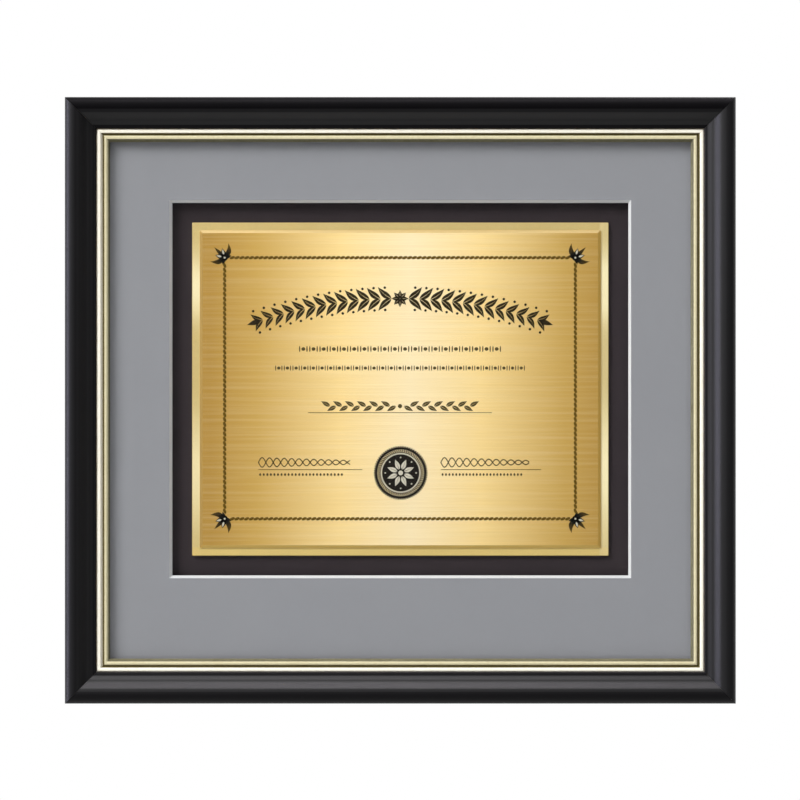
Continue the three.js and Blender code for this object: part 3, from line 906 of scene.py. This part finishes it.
def raise_marks(name, outlines, material, level=0.0):
    """Marks just proud of the face plate, or of a level on it, one closed shell for each outline."""
    front = FACE_LOW.y - level
    steps = ((1, FACE_LOW.y + ENGRAVING_SINK), (1, front - ENGRAVING_RISE / 2),
             (1 - MARK_EDGE, front - ENGRAVING_RISE))
    vertices, faces = [], []
    for outline in outlines:
        cx = sum(x for x, _ in outline) / len(outline)
        cz = sum(z for _, z in outline) / len(outline)
        rings = []
        for share, y in steps:
            shrunk = [(cx + share * (x - cx), cz + share * (z - cz)) for x, z in outline]
            rings.append([(MARKS_MIDDLE.x + x, y, MARKS_MIDDLE.z + z) for x, z in shrunk])
        points, skin = loft(rings)
        faces += [tuple(len(vertices) + i for i in face) for face in skin]
        vertices += points
    made = new_object(name, (vertices, faces), [material])
    settle(made, "frame", "engraving_black")


BORDER_WIDTH = 213.7 * MM
BORDER_HEIGHT = 159.1 * MM
ROPE_PITCH = 2.93 * MM
ROPE_WIDTH = 2.1 * MM
ROPE_SLANT = 0.7
SPRIG_CLEAR = 3.2 * MM


def rope_border():
    """Slanted strands along the four sides, clear of the corner sprigs."""
    lying = (BORDER_WIDTH, BORDER_HEIGHT, 0.0)
    upright = (BORDER_HEIGHT, BORDER_WIDTH, TURN / 4)
    for length, apart, angle in (lying, upright):
        run = length - 2 * SPRIG_CLEAR
        for side in (-1, 1):
            for along in centres(run, round(run / ROPE_PITCH)):
                x, z = turned([(along, side * apart / 2)], angle, 0, 0)[0]
                yield ellipse(x, z, ROPE_PITCH / 2, ROPE_WIDTH / 2, angle, ROPE_SLANT)


SPRIG_LEAF = 9.0 * MM
SPRIG_WIDTH = 3.0 * MM
SPRIG_MIDDLE = 2.2 * MM
SPRIG_BEND = 1.5 * MM
SPRIG_SPREAD = math.radians(60)
SPRIG_BUD = (4.4 * MM, 2.2 * MM)
BUD_SPREAD = math.radians(118)
SPRIG_KNOT = 2.0 * MM
SPRIG_HEART = 0.6 * MM
SPRIG_SHORT = (6 * MM, 3 * MM)
SPRIG_LIGHT = (3.3 * MM, 1.188 * MM)
# Distances from the knot where the enamel starts to thin and where it is thinnest
SPRIG_THIN = (0.3 * SPRIG_LEAF, 0.9 * SPRIG_LEAF)


def sprig_corners():
    """Each corner of the border, with the angle that points outwards there."""
    for sx, sz in ((-1, 1), (1, 1), (1, -1), (-1, -1)):
        yield sx * BORDER_WIDTH / 2, sz * BORDER_HEIGHT / 2, math.atan2(sz, sx)


def corner_sprigs():
    """Three long leaves that fan outwards from a knot, short ones between them, and two buds behind."""
    for x, z, outwards in sprig_corners():
        yield from leaf(x, z, SPRIG_LEAF, SPRIG_MIDDLE, outwards)
        for side in (-1, 1):
            angle = outwards + side * SPRIG_SPREAD
            yield from leaf(x, z, SPRIG_LEAF, SPRIG_WIDTH, angle, side * SPRIG_BEND)
            yield from leaf(x, z, *SPRIG_BUD, outwards + side * BUD_SPREAD)
            yield from leaf(x, z, *SPRIG_SHORT, outwards + side * SPRIG_SPREAD / 2)
        yield dot(x, z, SPRIG_KNOT)


def sprig_fill(dark, light):
    """Black enamel round each sprig's knot, which thins to brown at the leaves' tips."""
    finish = Finish("sprig_fill", specular=0.1)
    cloud = finish.noise(0.6 * MM)
    across, up = finish.axes()
    aside = finish.math("SUBTRACT", finish.distance(across, MARKS_MIDDLE.x), BORDER_WIDTH / 2)
    above = finish.math("SUBTRACT", finish.distance(up, MARKS_MIDDLE.z), BORDER_HEIGHT / 2)
    corner = finish.add("ShaderNodeCombineXYZ", {"X": aside, "Y": above}).outputs[0]
    thin = finish.spread(finish.vector("LENGTH", corner), *SPRIG_THIN, 0.0, 1.0)
    finish.colour(finish.mix(thin, dark, finish.mix(cloud, light, dark)))
    finish.rough(cloud, 0.4, 0.6)
    return finish.material


def sprig_lights():
    """A pale dot on each knot, and a pale sliver on each short leaf."""
    for x, z, outwards in sprig_corners():
        yield dot(x, z, SPRIG_HEART)
        for side in (-1, 1):
            angle = outwards + side * SPRIG_SPREAD / 2
            yield from leaf(*beyond(x, z, SPRIG_KNOT, angle), *SPRIG_LIGHT, angle)


ARCH_HALF_WIDTH = 85 * MM
ARCH_RISE = 13.4 * MM
ARCH_TOP = 54.6 * MM
ARCH_RADIUS = (ARCH_HALF_WIDTH ** 2 + ARCH_RISE ** 2) / (2 * ARCH_RISE)
ARCH_REACH = math.asin(ARCH_HALF_WIDTH / ARCH_RADIUS)
LAUREL_LEAF = 10.8 * MM
LAUREL_WIDTH = 3.8 * MM
LAUREL_BEND = 0.7 * MM
LAUREL_RIB = 0.3 * MM
LAUREL_PITCH = 6.4 * MM
LAUREL_SPREAD = math.radians(42)
LAUREL_START = 0.2
LAUREL_TAPER = 0.25
LAUREL_TIP = 0.8
BERRY_PLACE = (0.6 * LAUREL_PITCH, 6.8 * MM)
BERRY_RADIUS = 0.8 * MM
ROSETTE_PETALS = 8
ROSETTE_PETAL = (5.2 * MM, 2.6 * MM)
ROSETTE_RIB = 0.35 * MM


def on_arch(side, share):
    """A place on the arch, a share of the way out from its top, and the angle outwards along it."""
    turn = ARCH_REACH * share
    x = side * ARCH_RADIUS * math.sin(turn)
    z = ARCH_TOP - ARCH_RADIUS + ARCH_RADIUS * math.cos(turn)
    return x, z, sideways(side) - side * turn


def arch_garland():
    """Two laurel branches along an arch, which meet at a rosette in the middle."""
    count = int(ARCH_RADIUS * ARCH_REACH / LAUREL_PITCH)
    for side in (-1, 1):
        for i in range(1, count + 1):
            x, z, outwards = on_arch(side, (i - LAUREL_START) / count)
            size = 1 - LAUREL_TAPER * (i / count) ** 2
            length, width = size * LAUREL_LEAF, size * LAUREL_WIDTH
            for spread in (-1, 1):
                angle = outwards + spread * LAUREL_SPREAD
                yield from leaf(x, z, length, width, angle, -spread * LAUREL_BEND, LAUREL_RIB)
                along, apart = BERRY_PLACE
                berry = turned([(along, spread * apart)], outwards, x, z)[0]
                yield dot(*berry, BERRY_RADIUS)
        x, z, outwards = on_arch(side, 1.0)
        yield from leaf(x, z, LAUREL_TIP * LAUREL_LEAF, LAUREL_TIP * LAUREL_WIDTH, outwards)
    for i in range(ROSETTE_PETALS):
        yield from leaf(0, ARCH_TOP, *ROSETTE_PETAL, TURN * i / ROSETTE_PETALS, rib=ROSETTE_RIB)


# Rows: height on the plate, length, pitch of the beads and height of the reels
ROWS = ((23.9 * MM, 124 * MM, 6.2 * MM, 3.8 * MM), (12.3 * MM, 153 * MM, 5.3 * MM, 3.3 * MM))
BEAD_LENGTH = 0.4
BEAD_HEIGHT = 0.58
REEL_PLACE = 0.36
REEL_WIDTH = 0.13


def bead_rows():
    """Bead-and-reel lines: each oval bead stands between two thin upright reels."""
    for z, length, pitch, height in ROWS:
        for x in centres(length, round(length / pitch)):
            yield ellipse(x, z, BEAD_LENGTH * pitch / 2, BEAD_HEIGHT * height / 2)
            for side in (-1, 1):
                yield ellipse(x + side * REEL_PLACE * pitch, z, REEL_WIDTH * pitch / 2, height / 2)


# Rules: middle, height on the plate and length
LONG_RULE = (0.0, -14.9 * MM, 112 * MM)
SHORT_RULES = ((-54.6 * MM, -49.6 * MM, 63.3 * MM), (55.4 * MM, -49.6 * MM, 61 * MM))
RULE_THICKNESS = 0.36 * MM


def rules():
    """Plain lines: a long one in the middle and two short ones below it."""
    for rule in (LONG_RULE, *SHORT_RULES):
        yield bar(*rule, RULE_THICKNESS)


VINE_HEIGHT = -10.9 * MM
VINE_HALF = 50 * MM
VINE_DOT = 1.3 * MM
VINE_START = 2.5 * MM
VINE_LEAVES = 12
VINE_LEAF = 6.2 * MM
VINE_WIDTH = 2.5 * MM
VINE_RIB = 0.2 * MM
VINE_LEAN = 0.5


def name_vine():
    """A line of small leaves that runs out from a dot to both sides."""
    yield dot(0, VINE_HEIGHT, VINE_DOT)
    for side in (-1, 1):
        for i in range(VINE_LEAVES):
            x = side * (VINE_START + (VINE_HALF - VINE_LEAF) * i / VINE_LEAVES)
            angle = sideways(side) + side * (VINE_LEAN if i % 2 else -VINE_LEAN)
            yield from leaf(x, VINE_HEIGHT, VINE_LEAF, VINE_WIDTH, angle, rib=VINE_RIB)


WAVE_HEIGHT = -45.2 * MM
WAVE_LENGTH = 9 * MM
WAVE_RISE = 3.0 * MM
WAVE_FADE = 0.6
WAVE_THICKNESS = 0.6 * MM
WAVE_LAP = 0.6 * WAVE_THICKNESS
WAVE_STEPS = 96
WAVE_SHARE = 0.88
DOTTED_SHARE = 0.82
DOTTED_HEIGHT = -52.6 * MM
DOTTED_COUNT = 24
DOTTED_OVAL = (0.65 * MM, 0.85 * MM)


def wave(start, length, phase):
    """A flourish of even waves that die away to the right."""
    path = []
    for i in range(WAVE_STEPS + 1):
        t = i / WAVE_STEPS
        along = length * t
        rise = WAVE_RISE * (1 - WAVE_FADE * t) * math.sin(phase + TURN * along / WAVE_LENGTH)
        path.append((start + along, WAVE_HEIGHT + rise))
    for (ax, az), (bx, bz) in zip(path, path[1:]):
        angle = math.atan2(bz - az, bx - ax)
        span = math.hypot(bx - ax, bz - az) + WAVE_LAP
        yield bar((ax + bx) / 2, (az + bz) / 2, span, WAVE_THICKNESS, angle)


def signature_marks():
    """Two crossing waves over each short rule and a dotted line under it."""
    for x, _, length in SHORT_RULES:
        start = x - length / 2
        for phase in (0.0, TURN / 2):
            yield from wave(start, WAVE_SHARE * length, phase)
        dotted = DOTTED_SHARE * length
        for along in centres(dotted, DOTTED_COUNT):
            yield ellipse(start + dotted / 2 + along, DOTTED_HEIGHT, *DOTTED_OVAL, sides=SMALL_SIDES)


SEAL_PLACE = (0.4 * MM, -51.6 * MM)
SEAL_RADIUS = 16.2 * MM
SEAL_TEETH = 72
SEAL_SECTORS = 36
RIM_RADIUS = 0.985 * SEAL_RADIUS
TOOTH = (0.035 * SEAL_RADIUS, 0.03 * SEAL_RADIUS)
STROKE_RADIUS = 0.83 * SEAL_RADIUS
STROKE = (0.1 * SEAL_RADIUS, 0.045 * SEAL_RADIUS)
STROKE_LEAN = 0.5
OUTER_RING = (0.88 * SEAL_RADIUS, 0.97 * SEAL_RADIUS)
INNER_RING = (0.755 * SEAL_RADIUS, 0.785 * SEAL_RADIUS)
SILVER_RING = (0.705 * SEAL_RADIUS, 0.75 * SEAL_RADIUS)
DISC_RADIUS = 0.7 * SEAL_RADIUS
DISC_SIDES = 64
SEAL_PETALS = 8
PETAL_START = 0.14 * SEAL_RADIUS
SEAL_PETAL = (0.4 * SEAL_RADIUS, 0.17 * SEAL_RADIUS)
PETAL_RIB = 0.3 * MM
STAR_RADIUS = 0.58 * SEAL_RADIUS
STAR_DOT = 0.03 * SEAL_RADIUS
SEAL_HEART = 0.09 * SEAL_RADIUS


def seal_ring(inner, outer):
    """Thin sectors that make up a ring of the seal."""
    for i in range(SEAL_SECTORS):
        a, b = TURN * i / SEAL_SECTORS, TURN * (i + 1) / SEAL_SECTORS
        corners = ((inner, a), (outer, a), (outer, b), (inner, b))
        yield [beyond(*SEAL_PLACE, radius, angle) for radius, angle in corners]


def seal_marks():
    """A milled rim, a band of fine strokes between two rings, and a dark disc."""
    for i in range(SEAL_TEETH):
        angle = TURN * i / SEAL_TEETH
        yield ellipse(*beyond(*SEAL_PLACE, RIM_RADIUS, angle), *TOOTH, angle, sides=SMALL_SIDES)
        yield bar(*beyond(*SEAL_PLACE, STROKE_RADIUS, angle), *STROKE, angle + STROKE_LEAN)
    yield from seal_ring(*OUTER_RING)
    yield from seal_ring(*INNER_RING)
    yield dot(*SEAL_PLACE, DISC_RADIUS, DISC_SIDES)


def seal_rosette():
    """Petals and a star of dots that stand on the seal's dark disc."""
    for i in range(SEAL_PETALS):
        angle = TURN * (i + 0.5) / SEAL_PETALS
        yield from leaf(*beyond(*SEAL_PLACE, PETAL_START, angle), *SEAL_PETAL, angle, rib=PETAL_RIB)
        yield dot(*beyond(*SEAL_PLACE, STAR_RADIUS, TURN * i / SEAL_PETALS), STAR_DOT, SMALL_SIDES)
    yield dot(*SEAL_PLACE, SEAL_HEART)


def build_engraving():
    ink = fill("black_fill", (0.004, 0.0032, 0.0025, 1), (0.016, 0.012, 0.008, 1))
    umber = fill("umber_fill", (0.085, 0.045, 0.003, 1), (0.15, 0.085, 0.008, 1))
    shaded = sprig_fill((0.006, 0.006, 0.004, 1), (0.16, 0.09, 0.012, 1))
    silver = fill("silver_fill", (0.48, 0.44, 0.35, 1), (0.64, 0.6, 0.5, 1))
    bark = fill("bark_fill", (0.016, 0.011, 0.003, 1), (0.035, 0.024, 0.008, 1))
    sepia = fill("sepia_fill", (0.07, 0.05, 0.017, 1), (0.115, 0.082, 0.029, 1))
    raise_marks("rope_border", rope_border(), umber)
    raise_marks("corner_sprigs", corner_sprigs(), shaded)
    raise_marks("sprig_lights", sprig_lights(), silver, ENGRAVING_RISE / 2)
    raise_marks("arch_garland", arch_garland(), bark)
    raise_marks("bead_rows", bead_rows(), sepia)
    raise_marks("name_vine", name_vine(), sepia)
    raise_marks("signature_marks", signature_marks(), sepia)
    raise_marks("rules", rules(), umber)
    raise_marks("seal", seal_marks(), ink)
    raise_marks("seal_rosette", seal_rosette(), silver, ENGRAVING_RISE)
    raise_marks("seal_band", seal_ring(*SILVER_RING), silver)


# Hardware on the back

PIVOTS = {joint["child"]: Vector(joint["pos_m"]) for joint in frame["joints"]}


def round_solid(node):
    """A round solid's two ends along Y, its centre seen along Y, and its radius."""
    low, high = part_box(node)
    return low.y, high.y, ((low.x + high.x) / 2, (low.z + high.z) / 2), (high.x - low.x) / 2


def shank_room(centre, low, high):
    """A round bar from low to high that makes room for a screw's shank."""
    radius = SCREW_SHANK + FIT
    return new_object("shank_room", lathe([(radius, low), (radius, high)], centre))


def capsule(start, root, tip, steps):
    """Outline with a round root at the start, a round tip at the button's reach, and straight flanks."""
    flank = TURN / 4 - math.asin((root - tip) / (BUTTON_REACH - start))
    end = arc(BUTTON_REACH, 0, tip, -flank, flank, steps)
    return end + arc(start, 0, root, flank, TURN - flank, steps)


def build_turn_button(side, number, brass):
    key = f"{side}_{number}"
    node = "turn_button_" + key
    low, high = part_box(node)
    pivot = PIVOTS["button_" + key]
    inwards = TURN / 4 - SIDES[side][0]

    def ring(y, *shape):
        return [(x, y, z) for x, z in turned(capsule(*shape), inwards, pivot.x, pivot.z)]

    rings = []
    for inset, y in rounded_edge(BUTTON_EDGE, low.y, high.y):
        rings.append(ring(y, 0, BUTTON_ROOT - inset, BUTTON_TIP - inset, BUTTON_STEPS))
    made = new_object("button_plate_" + key, loft(rings), [brass])
    crown = []
    for inset, rise in RIB_CROWN:
        radius = RIB_RADIUS - inset * RIB_RADIUS
        crown.append(ring(high.y + rise * RIB_RISE, RIB_START, radius, radius, RIB_STEPS))
    combine(made, new_object("rib", loft(crown)), "UNION")
    combine(made, shank_room((pivot.x, pivot.z), low.y - FIT, high.y + FIT), "DIFFERENCE")
    settle(made, "button_" + key, "turn_button_brass", node)


def recess(centre, top):
    """A tapered cross, sunk in a screw's head."""
    rings = []
    for share, y in ((RECESS_FLOOR, top - RECESS_DEPTH), (RECESS_MOUTH, top + FIT)):
        arm, half = share * RECESS_LENGTH / 2, share * RECESS_WIDTH / 2
        corners = []
        for quarter in range(4):
            corners += turned([(arm, -half), (arm, half), (half, half)], TURN * quarter / 4, *centre)
        rings.append([(x, y, z) for x, z in corners])
    return new_object("recess", loft(rings))


def build_screw(name, node, zinc):
    point, top, centre, head = round_solid(node)
    seat = top - SCREW_HEAD_HEIGHT
    rim = seat + SCREW_RIM * SCREW_HEAD_HEIGHT
    dome = arc(0, rim, head, 0, TURN / 4, DOME_STEPS, top - rim)[:-1]
    profile = [(SCREW_BLUNT * SCREW_SHANK, point), (SCREW_SHANK, point + SCREW_POINT), (SCREW_SHANK, seat),
               (head, seat), *dome, (SCREW_BLUNT * head, top)]
    made = new_object(name, lathe(profile, centre), [zinc])
    combine(made, recess(centre, top), "DIFFERENCE")
    settle(made, "frame", "zinc_screw", node)


def strap_section(pivot):
    """Side view of the folded strap: up the rail, round the ring's bar and down again."""
    bore = RING_WIRE + FIT
    outer = bore + STRAP_SHEET
    foot = pivot.z - STRAP_LENGTH
    rear = pivot.y - outer
    front = rear + 2 * STRAP_SHEET
    inner_leaf = rear + STRAP_SHEET - STRAP_SEAM / 2
    outer_leaf = rear + STRAP_SHEET + STRAP_SEAM / 2
    meet = math.acos((front - pivot.y) / outer)
    enter = math.acos((outer_leaf - pivot.y) / bore)
    eye = arc(pivot.y, pivot.z, outer, TURN / 2, -meet, STRAP_STEPS)
    hollow = arc(pivot.y, pivot.z, bore, -enter, TURN / 2, STRAP_STEPS)
    return [(rear, foot), *eye, (front, foot), (outer_leaf, foot), *hollow,
            (inner_leaf, pivot.z - bore), (inner_leaf, foot)]


def build_strap(side, nickel):
    pivot = PIVOTS["ring_" + side]
    half = STRAP_WIDTH / 2
    rings = [[(pivot.x + end * half, y, z) for y, z in strap_section(pivot)] for end in (-1, 1)]
    strap = new_object("strap_" + side, loft(rings), [nickel])
    low, high = pivot.y - STRAP_WIDTH, pivot.y + STRAP_WIDTH
    top = pivot.z + STRAP_WIDTH
    foot = arc(pivot.x, pivot.z - STRAP_LENGTH + half, half, 0, -TURN / 2, STRAP_STEPS)
    plan = [(pivot.x + STRAP_WIDTH, top), *foot, (pivot.x - STRAP_WIDTH, top)]
    block = [[(x, y, z) for x, z in plan] for y in (low, high)]
    combine(strap, new_object("plan", loft(block)), "INTERSECT")
    combine(strap, shank_room((pivot.x, pivot.z - STRAP_SCREW_DROP), low, high), "DIFFERENCE")
    settle(strap, "frame", "nickel_steel", "hanger_strap_" + side)


def ring_path():
    """The D in its own plane: a bow, and a bar between two round corners."""
    span = RING_HALF_WIDTH - RING_CORNER
    bow = arc(0, -RING_CORNER, RING_HALF_WIDTH, 0, TURN / 2, BOW_STEPS, RING_CORNER - RING_DROP)
    left = arc(-span, -RING_CORNER, RING_CORNER, TURN / 2, TURN / 4, CORNER_STEPS)
    straight = [(-span + 2 * span * i / STRAIGHT_STEPS, 0.0) for i in range(STRAIGHT_STEPS + 1)]
    right = arc(span, -RING_CORNER, RING_CORNER, TURN / 4, 0, CORNER_STEPS)
    return bow + left[1:-1] + straight + right[1:-1]


def build_ring(side, wire):
    node = "hanger_ring_" + side
    pivot = PIVOTS["ring_" + side]
    _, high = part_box(node)
    tilt = math.asin((high.y - RING_WIRE - pivot.y) / RING_DROP)
    place = Matrix.Translation(pivot) @ Matrix.Rotation(tilt, 4, "X")
    path = ring_path()
    rings = []
    for i, (x, z) in enumerate(path):
        ahead, behind = path[(i + 1) % len(path)], path[i - 1]
        along = Vector((ahead[0] - behind[0], 0, ahead[1] - behind[1])).normalized()
        inward = Vector((-along.z, 0, along.x))
        ring = [Vector((x, 0, z)) + inward * a + Vector((0, b, 0)) for a, b in circle(RING_WIRE, WIRE_SIDES)]
        rings.append([place @ point for point in ring])
    made = new_object("d_ring_" + side, loft(rings, closed=True), [wire])
    settle(made, "ring_" + side, "nickel_steel", node)


def build_bumper(corner, black):
    node = "bumper_" + corner
    foot, top, centre, radius = round_solid(node)
    shoulder = arc(radius - BUMPER_ROUND, top - BUMPER_ROUND, BUMPER_ROUND, 0, TURN / 4, BUMPER_STEPS)
    profile = [(radius - ARRIS, foot), (radius, foot + ARRIS / 2), *shoulder]
    made = new_object("bumper_pad_" + corner, lathe(profile, centre), [black])
    settle(made, "frame", "bumper_rubber", node)


def build_hardware():
    brass = plated("button_brass", (0.7, 0.48, 0.19, 1), (0.5, 0.33, 0.12, 1), 0.3)
    zinc = plated("zinc", (0.48, 0.48, 0.47, 1), (0.34, 0.34, 0.33, 1), 0.3)
    nickel = plated("nickel_strap", (0.52, 0.51, 0.49, 1), (0.38, 0.37, 0.35, 1), 0.3)
    wire = plated("nickel_wire", (0.55, 0.54, 0.52, 1), (0.42, 0.41, 0.39, 1), 0.22)
    for side in SIDES:
        for number in (1, 2):
            build_turn_button(side, number, brass)
            build_screw(f"button_screw_{side}_{number}", f"turn_button_screw_{side}_{number}", zinc)
    for side in ("left", "right"):
        build_strap(side, nickel)
        build_ring(side, wire)
        build_screw("strap_screw_" + side, "hanger_screw_" + side, zinc)
    black = rubber()
    for corner in ("top_left", "top_right", "bottom_left", "bottom_right"):
        build_bumper(corner, black)


# Pieces that keep their solids and only get a finish

def dress(material, *names):
    for name in names:
        NODES[name].data.materials.clear()
        NODES[name].data.materials.append(material)


def dress_boards():
    dress(clear_glass(), "glazing")
    dress(mat_paper(), "window_mat")
    mount = paper("black_mount", screen(47, 41, 44), screen(59, 52, 55), 0.3 * MM, specular=0.02)
    dress(mount, "mount_board")
    dress(hardboard(), "backing_board")
    foam = paper("foam_board", (0.72, 0.71, 0.68, 1), (0.82, 0.81, 0.78, 1), 0.4 * MM)
    dress(foam, *["spacer_" + side for side in SIDES])
    tape = paper("mounting_tape", (0.6, 0.58, 0.53, 1), (0.7, 0.68, 0.63, 1), 0.5 * MM)
    dress(tape, "plate_tape_1", "plate_tape_2")
    steel = plated("nail_steel", (0.42, 0.43, 0.44, 1), (0.26, 0.26, 0.27, 1), 0.35)
    dress(steel, *[name for name in NODES if name.startswith("v_nail_")])


# Stage: floor, light and camera

FLOOR_DROP = 0.75
FLOOR_RADIUS = 4.5
FLOOR_GRAIN = 0.4
FLOOR_FADE = (0.6, 2.6)
MIRROR_FADE = (0.5, 1.1)
MIRROR_FAR = 0.45
# The room's light from below and above, from the front and the back, and in mirrors
ROOM_BELOW, ROOM_ABOVE = 0.7, 1.2
ROOM_FRONT, ROOM_BACK = 0.24, 0.65
MIRROR_DARK, MIRROR_BRIGHT = 0.06, 0.5
# Depths of a direction between which the front's light goes over to the back's
ROOM_TURN = (-0.2, 0.5)
MIRROR_TURN = (-0.1, 0.4)
BRIGHT_SIDE = (-0.6, 0.0, 0.8)
BRIGHT_TURN = (-0.8, 0.8)
# Lamps: place, width and height, power, tint, and whether the lamp only gives sheen
LAMPS = {
    "key": ((-4.93, -3.89, 4.57), (3.28, 3.28), 667, (1, 1, 1), False),
    "left": ((-1.8, -0.25, 0.1), (0.7, 1.4), 29.5, (0.96, 0.94, 1.2), True),
    "over": ((0.1, -0.25, 1.8), (1.4, 0.7), 18, (1.0, 0.89, 1.03), True),
    "top": ((0.0, -1.8, 3.4), (0.44, 1.8), 56, (1, 1, 1), False),
    "back": ((0.9, 1.6, 1.3), (1.2, 1.2), 22, (1, 1, 1), False),
}


def build_world():
    """White behind the plaque to the eye and in mirrors, and a dimmer room in front of it."""
    world = bpy.data.worlds.new("studio")
    bpy.context.scene.world = world
    world.use_nodes = True
    tree = Tree(world.node_tree)
    direction = tree.add("ShaderNodeTexCoord").outputs["Generated"]
    axes = tree.add("ShaderNodeSeparateXYZ", {"Vector": direction}).outputs
    seen, glossy = tree.rays()
    height = tree.spread(axes["Z"], -1.0, 1.0, ROOM_BELOW, ROOM_ABOVE)
    depth = tree.spread(axes["Y"], *ROOM_TURN, ROOM_FRONT, ROOM_BACK)
    diffuse = tree.math("MULTIPLY", height, depth)
    aim = tree.vector("DOT_PRODUCT", direction, BRIGHT_SIDE)
    front = tree.spread(aim, *BRIGHT_TURN, MIRROR_DARK, MIRROR_BRIGHT)
    mirrored = tree.spread(axes["Y"], *MIRROR_TURN, front, 1.0)
    matt = tree.math("SUBTRACT", 1.0, glossy)
    level = tree.math("ADD", tree.math("MULTIPLY", glossy, mirrored), tree.math("MULTIPLY", matt, diffuse))
    background = tree.tree.nodes["Background"]
    background.inputs["Color"].default_value = (1, 1, 1, 1)
    tree.give(background.inputs["Strength"], tree.math("MAXIMUM", level, seen))


def pale_floor():
    """A pale floor that turns white far off to the eye, and in mirrors is white close by."""
    finish = Finish("pale_floor", roughness=0.9)
    finish.colour(finish.mix(finish.noise(FLOOR_GRAIN), (0.6, 0.6, 0.59, 1), (0.64, 0.64, 0.63, 1)))
    reach = finish.vector("LENGTH", finish.place)
    far = finish.spread(reach, *FLOOR_FADE, 0.0, 1.0)
    seen, glossy = finish.rays()
    share = finish.math("MAXIMUM", finish.math("MULTIPLY", seen, far), glossy)
    mirrored = finish.spread(reach, *MIRROR_FADE, 1.0, MIRROR_FAR)
    strength = finish.math("MAXIMUM", mirrored, seen)
    white = finish.add("ShaderNodeEmission", {"Color": (1, 1, 1, 1), "Strength": strength})
    finish.surface(share, finish.shader, white)
    return finish.material


def build_floor():
    ring = [(x, y, 0) for x, y in circle(FLOOR_RADIUS)]
    floor = new_object("floor", (ring, [tuple(range(len(ring)))]), [pale_floor()])
    floor.location.z = cad_box[0].z - FLOOR_DROP


def build_lights():
    """Soft panels that point at the middle of the plaque."""
    for name, (place, (width, height), power, tint, only_sheen) in LAMPS.items():
        lamp = bpy.data.lights.new(name, "AREA")
        lamp.shape = "RECTANGLE"
        lamp.size = width
        lamp.size_y = height
        lamp.energy = power
        lamp.color = tint
        made = add_object(name, lamp)
        made.location = place
        made.rotation_euler = (-Vector(place)).to_track_quat("-Z", "Y").to_euler()
        made.visible_camera = False
        made.visible_diffuse = not only_sheen


def build_camera():
    data = bpy.data.cameras.new("camera")
    data.sensor_width = SENSOR
    data.lens = SENSOR * VIEW_DISTANCE / (IMAGE_SIDE * PIXEL)
    camera = add_object("camera", data)
    camera.location = (-VIEW_SHIFT, FACE_LOW.y - VIEW_DISTANCE, VIEW_SHIFT)
    camera.rotation_euler = (TURN / 4, 0, 0)
    bpy.context.scene.camera = camera


bpy.context.scene.view_settings.view_transform = "Standard"
build_camera()
build_frame()
build_plates()
build_engraving()
build_hardware()
dress_boards()
build_world()
build_floor()
build_lights()
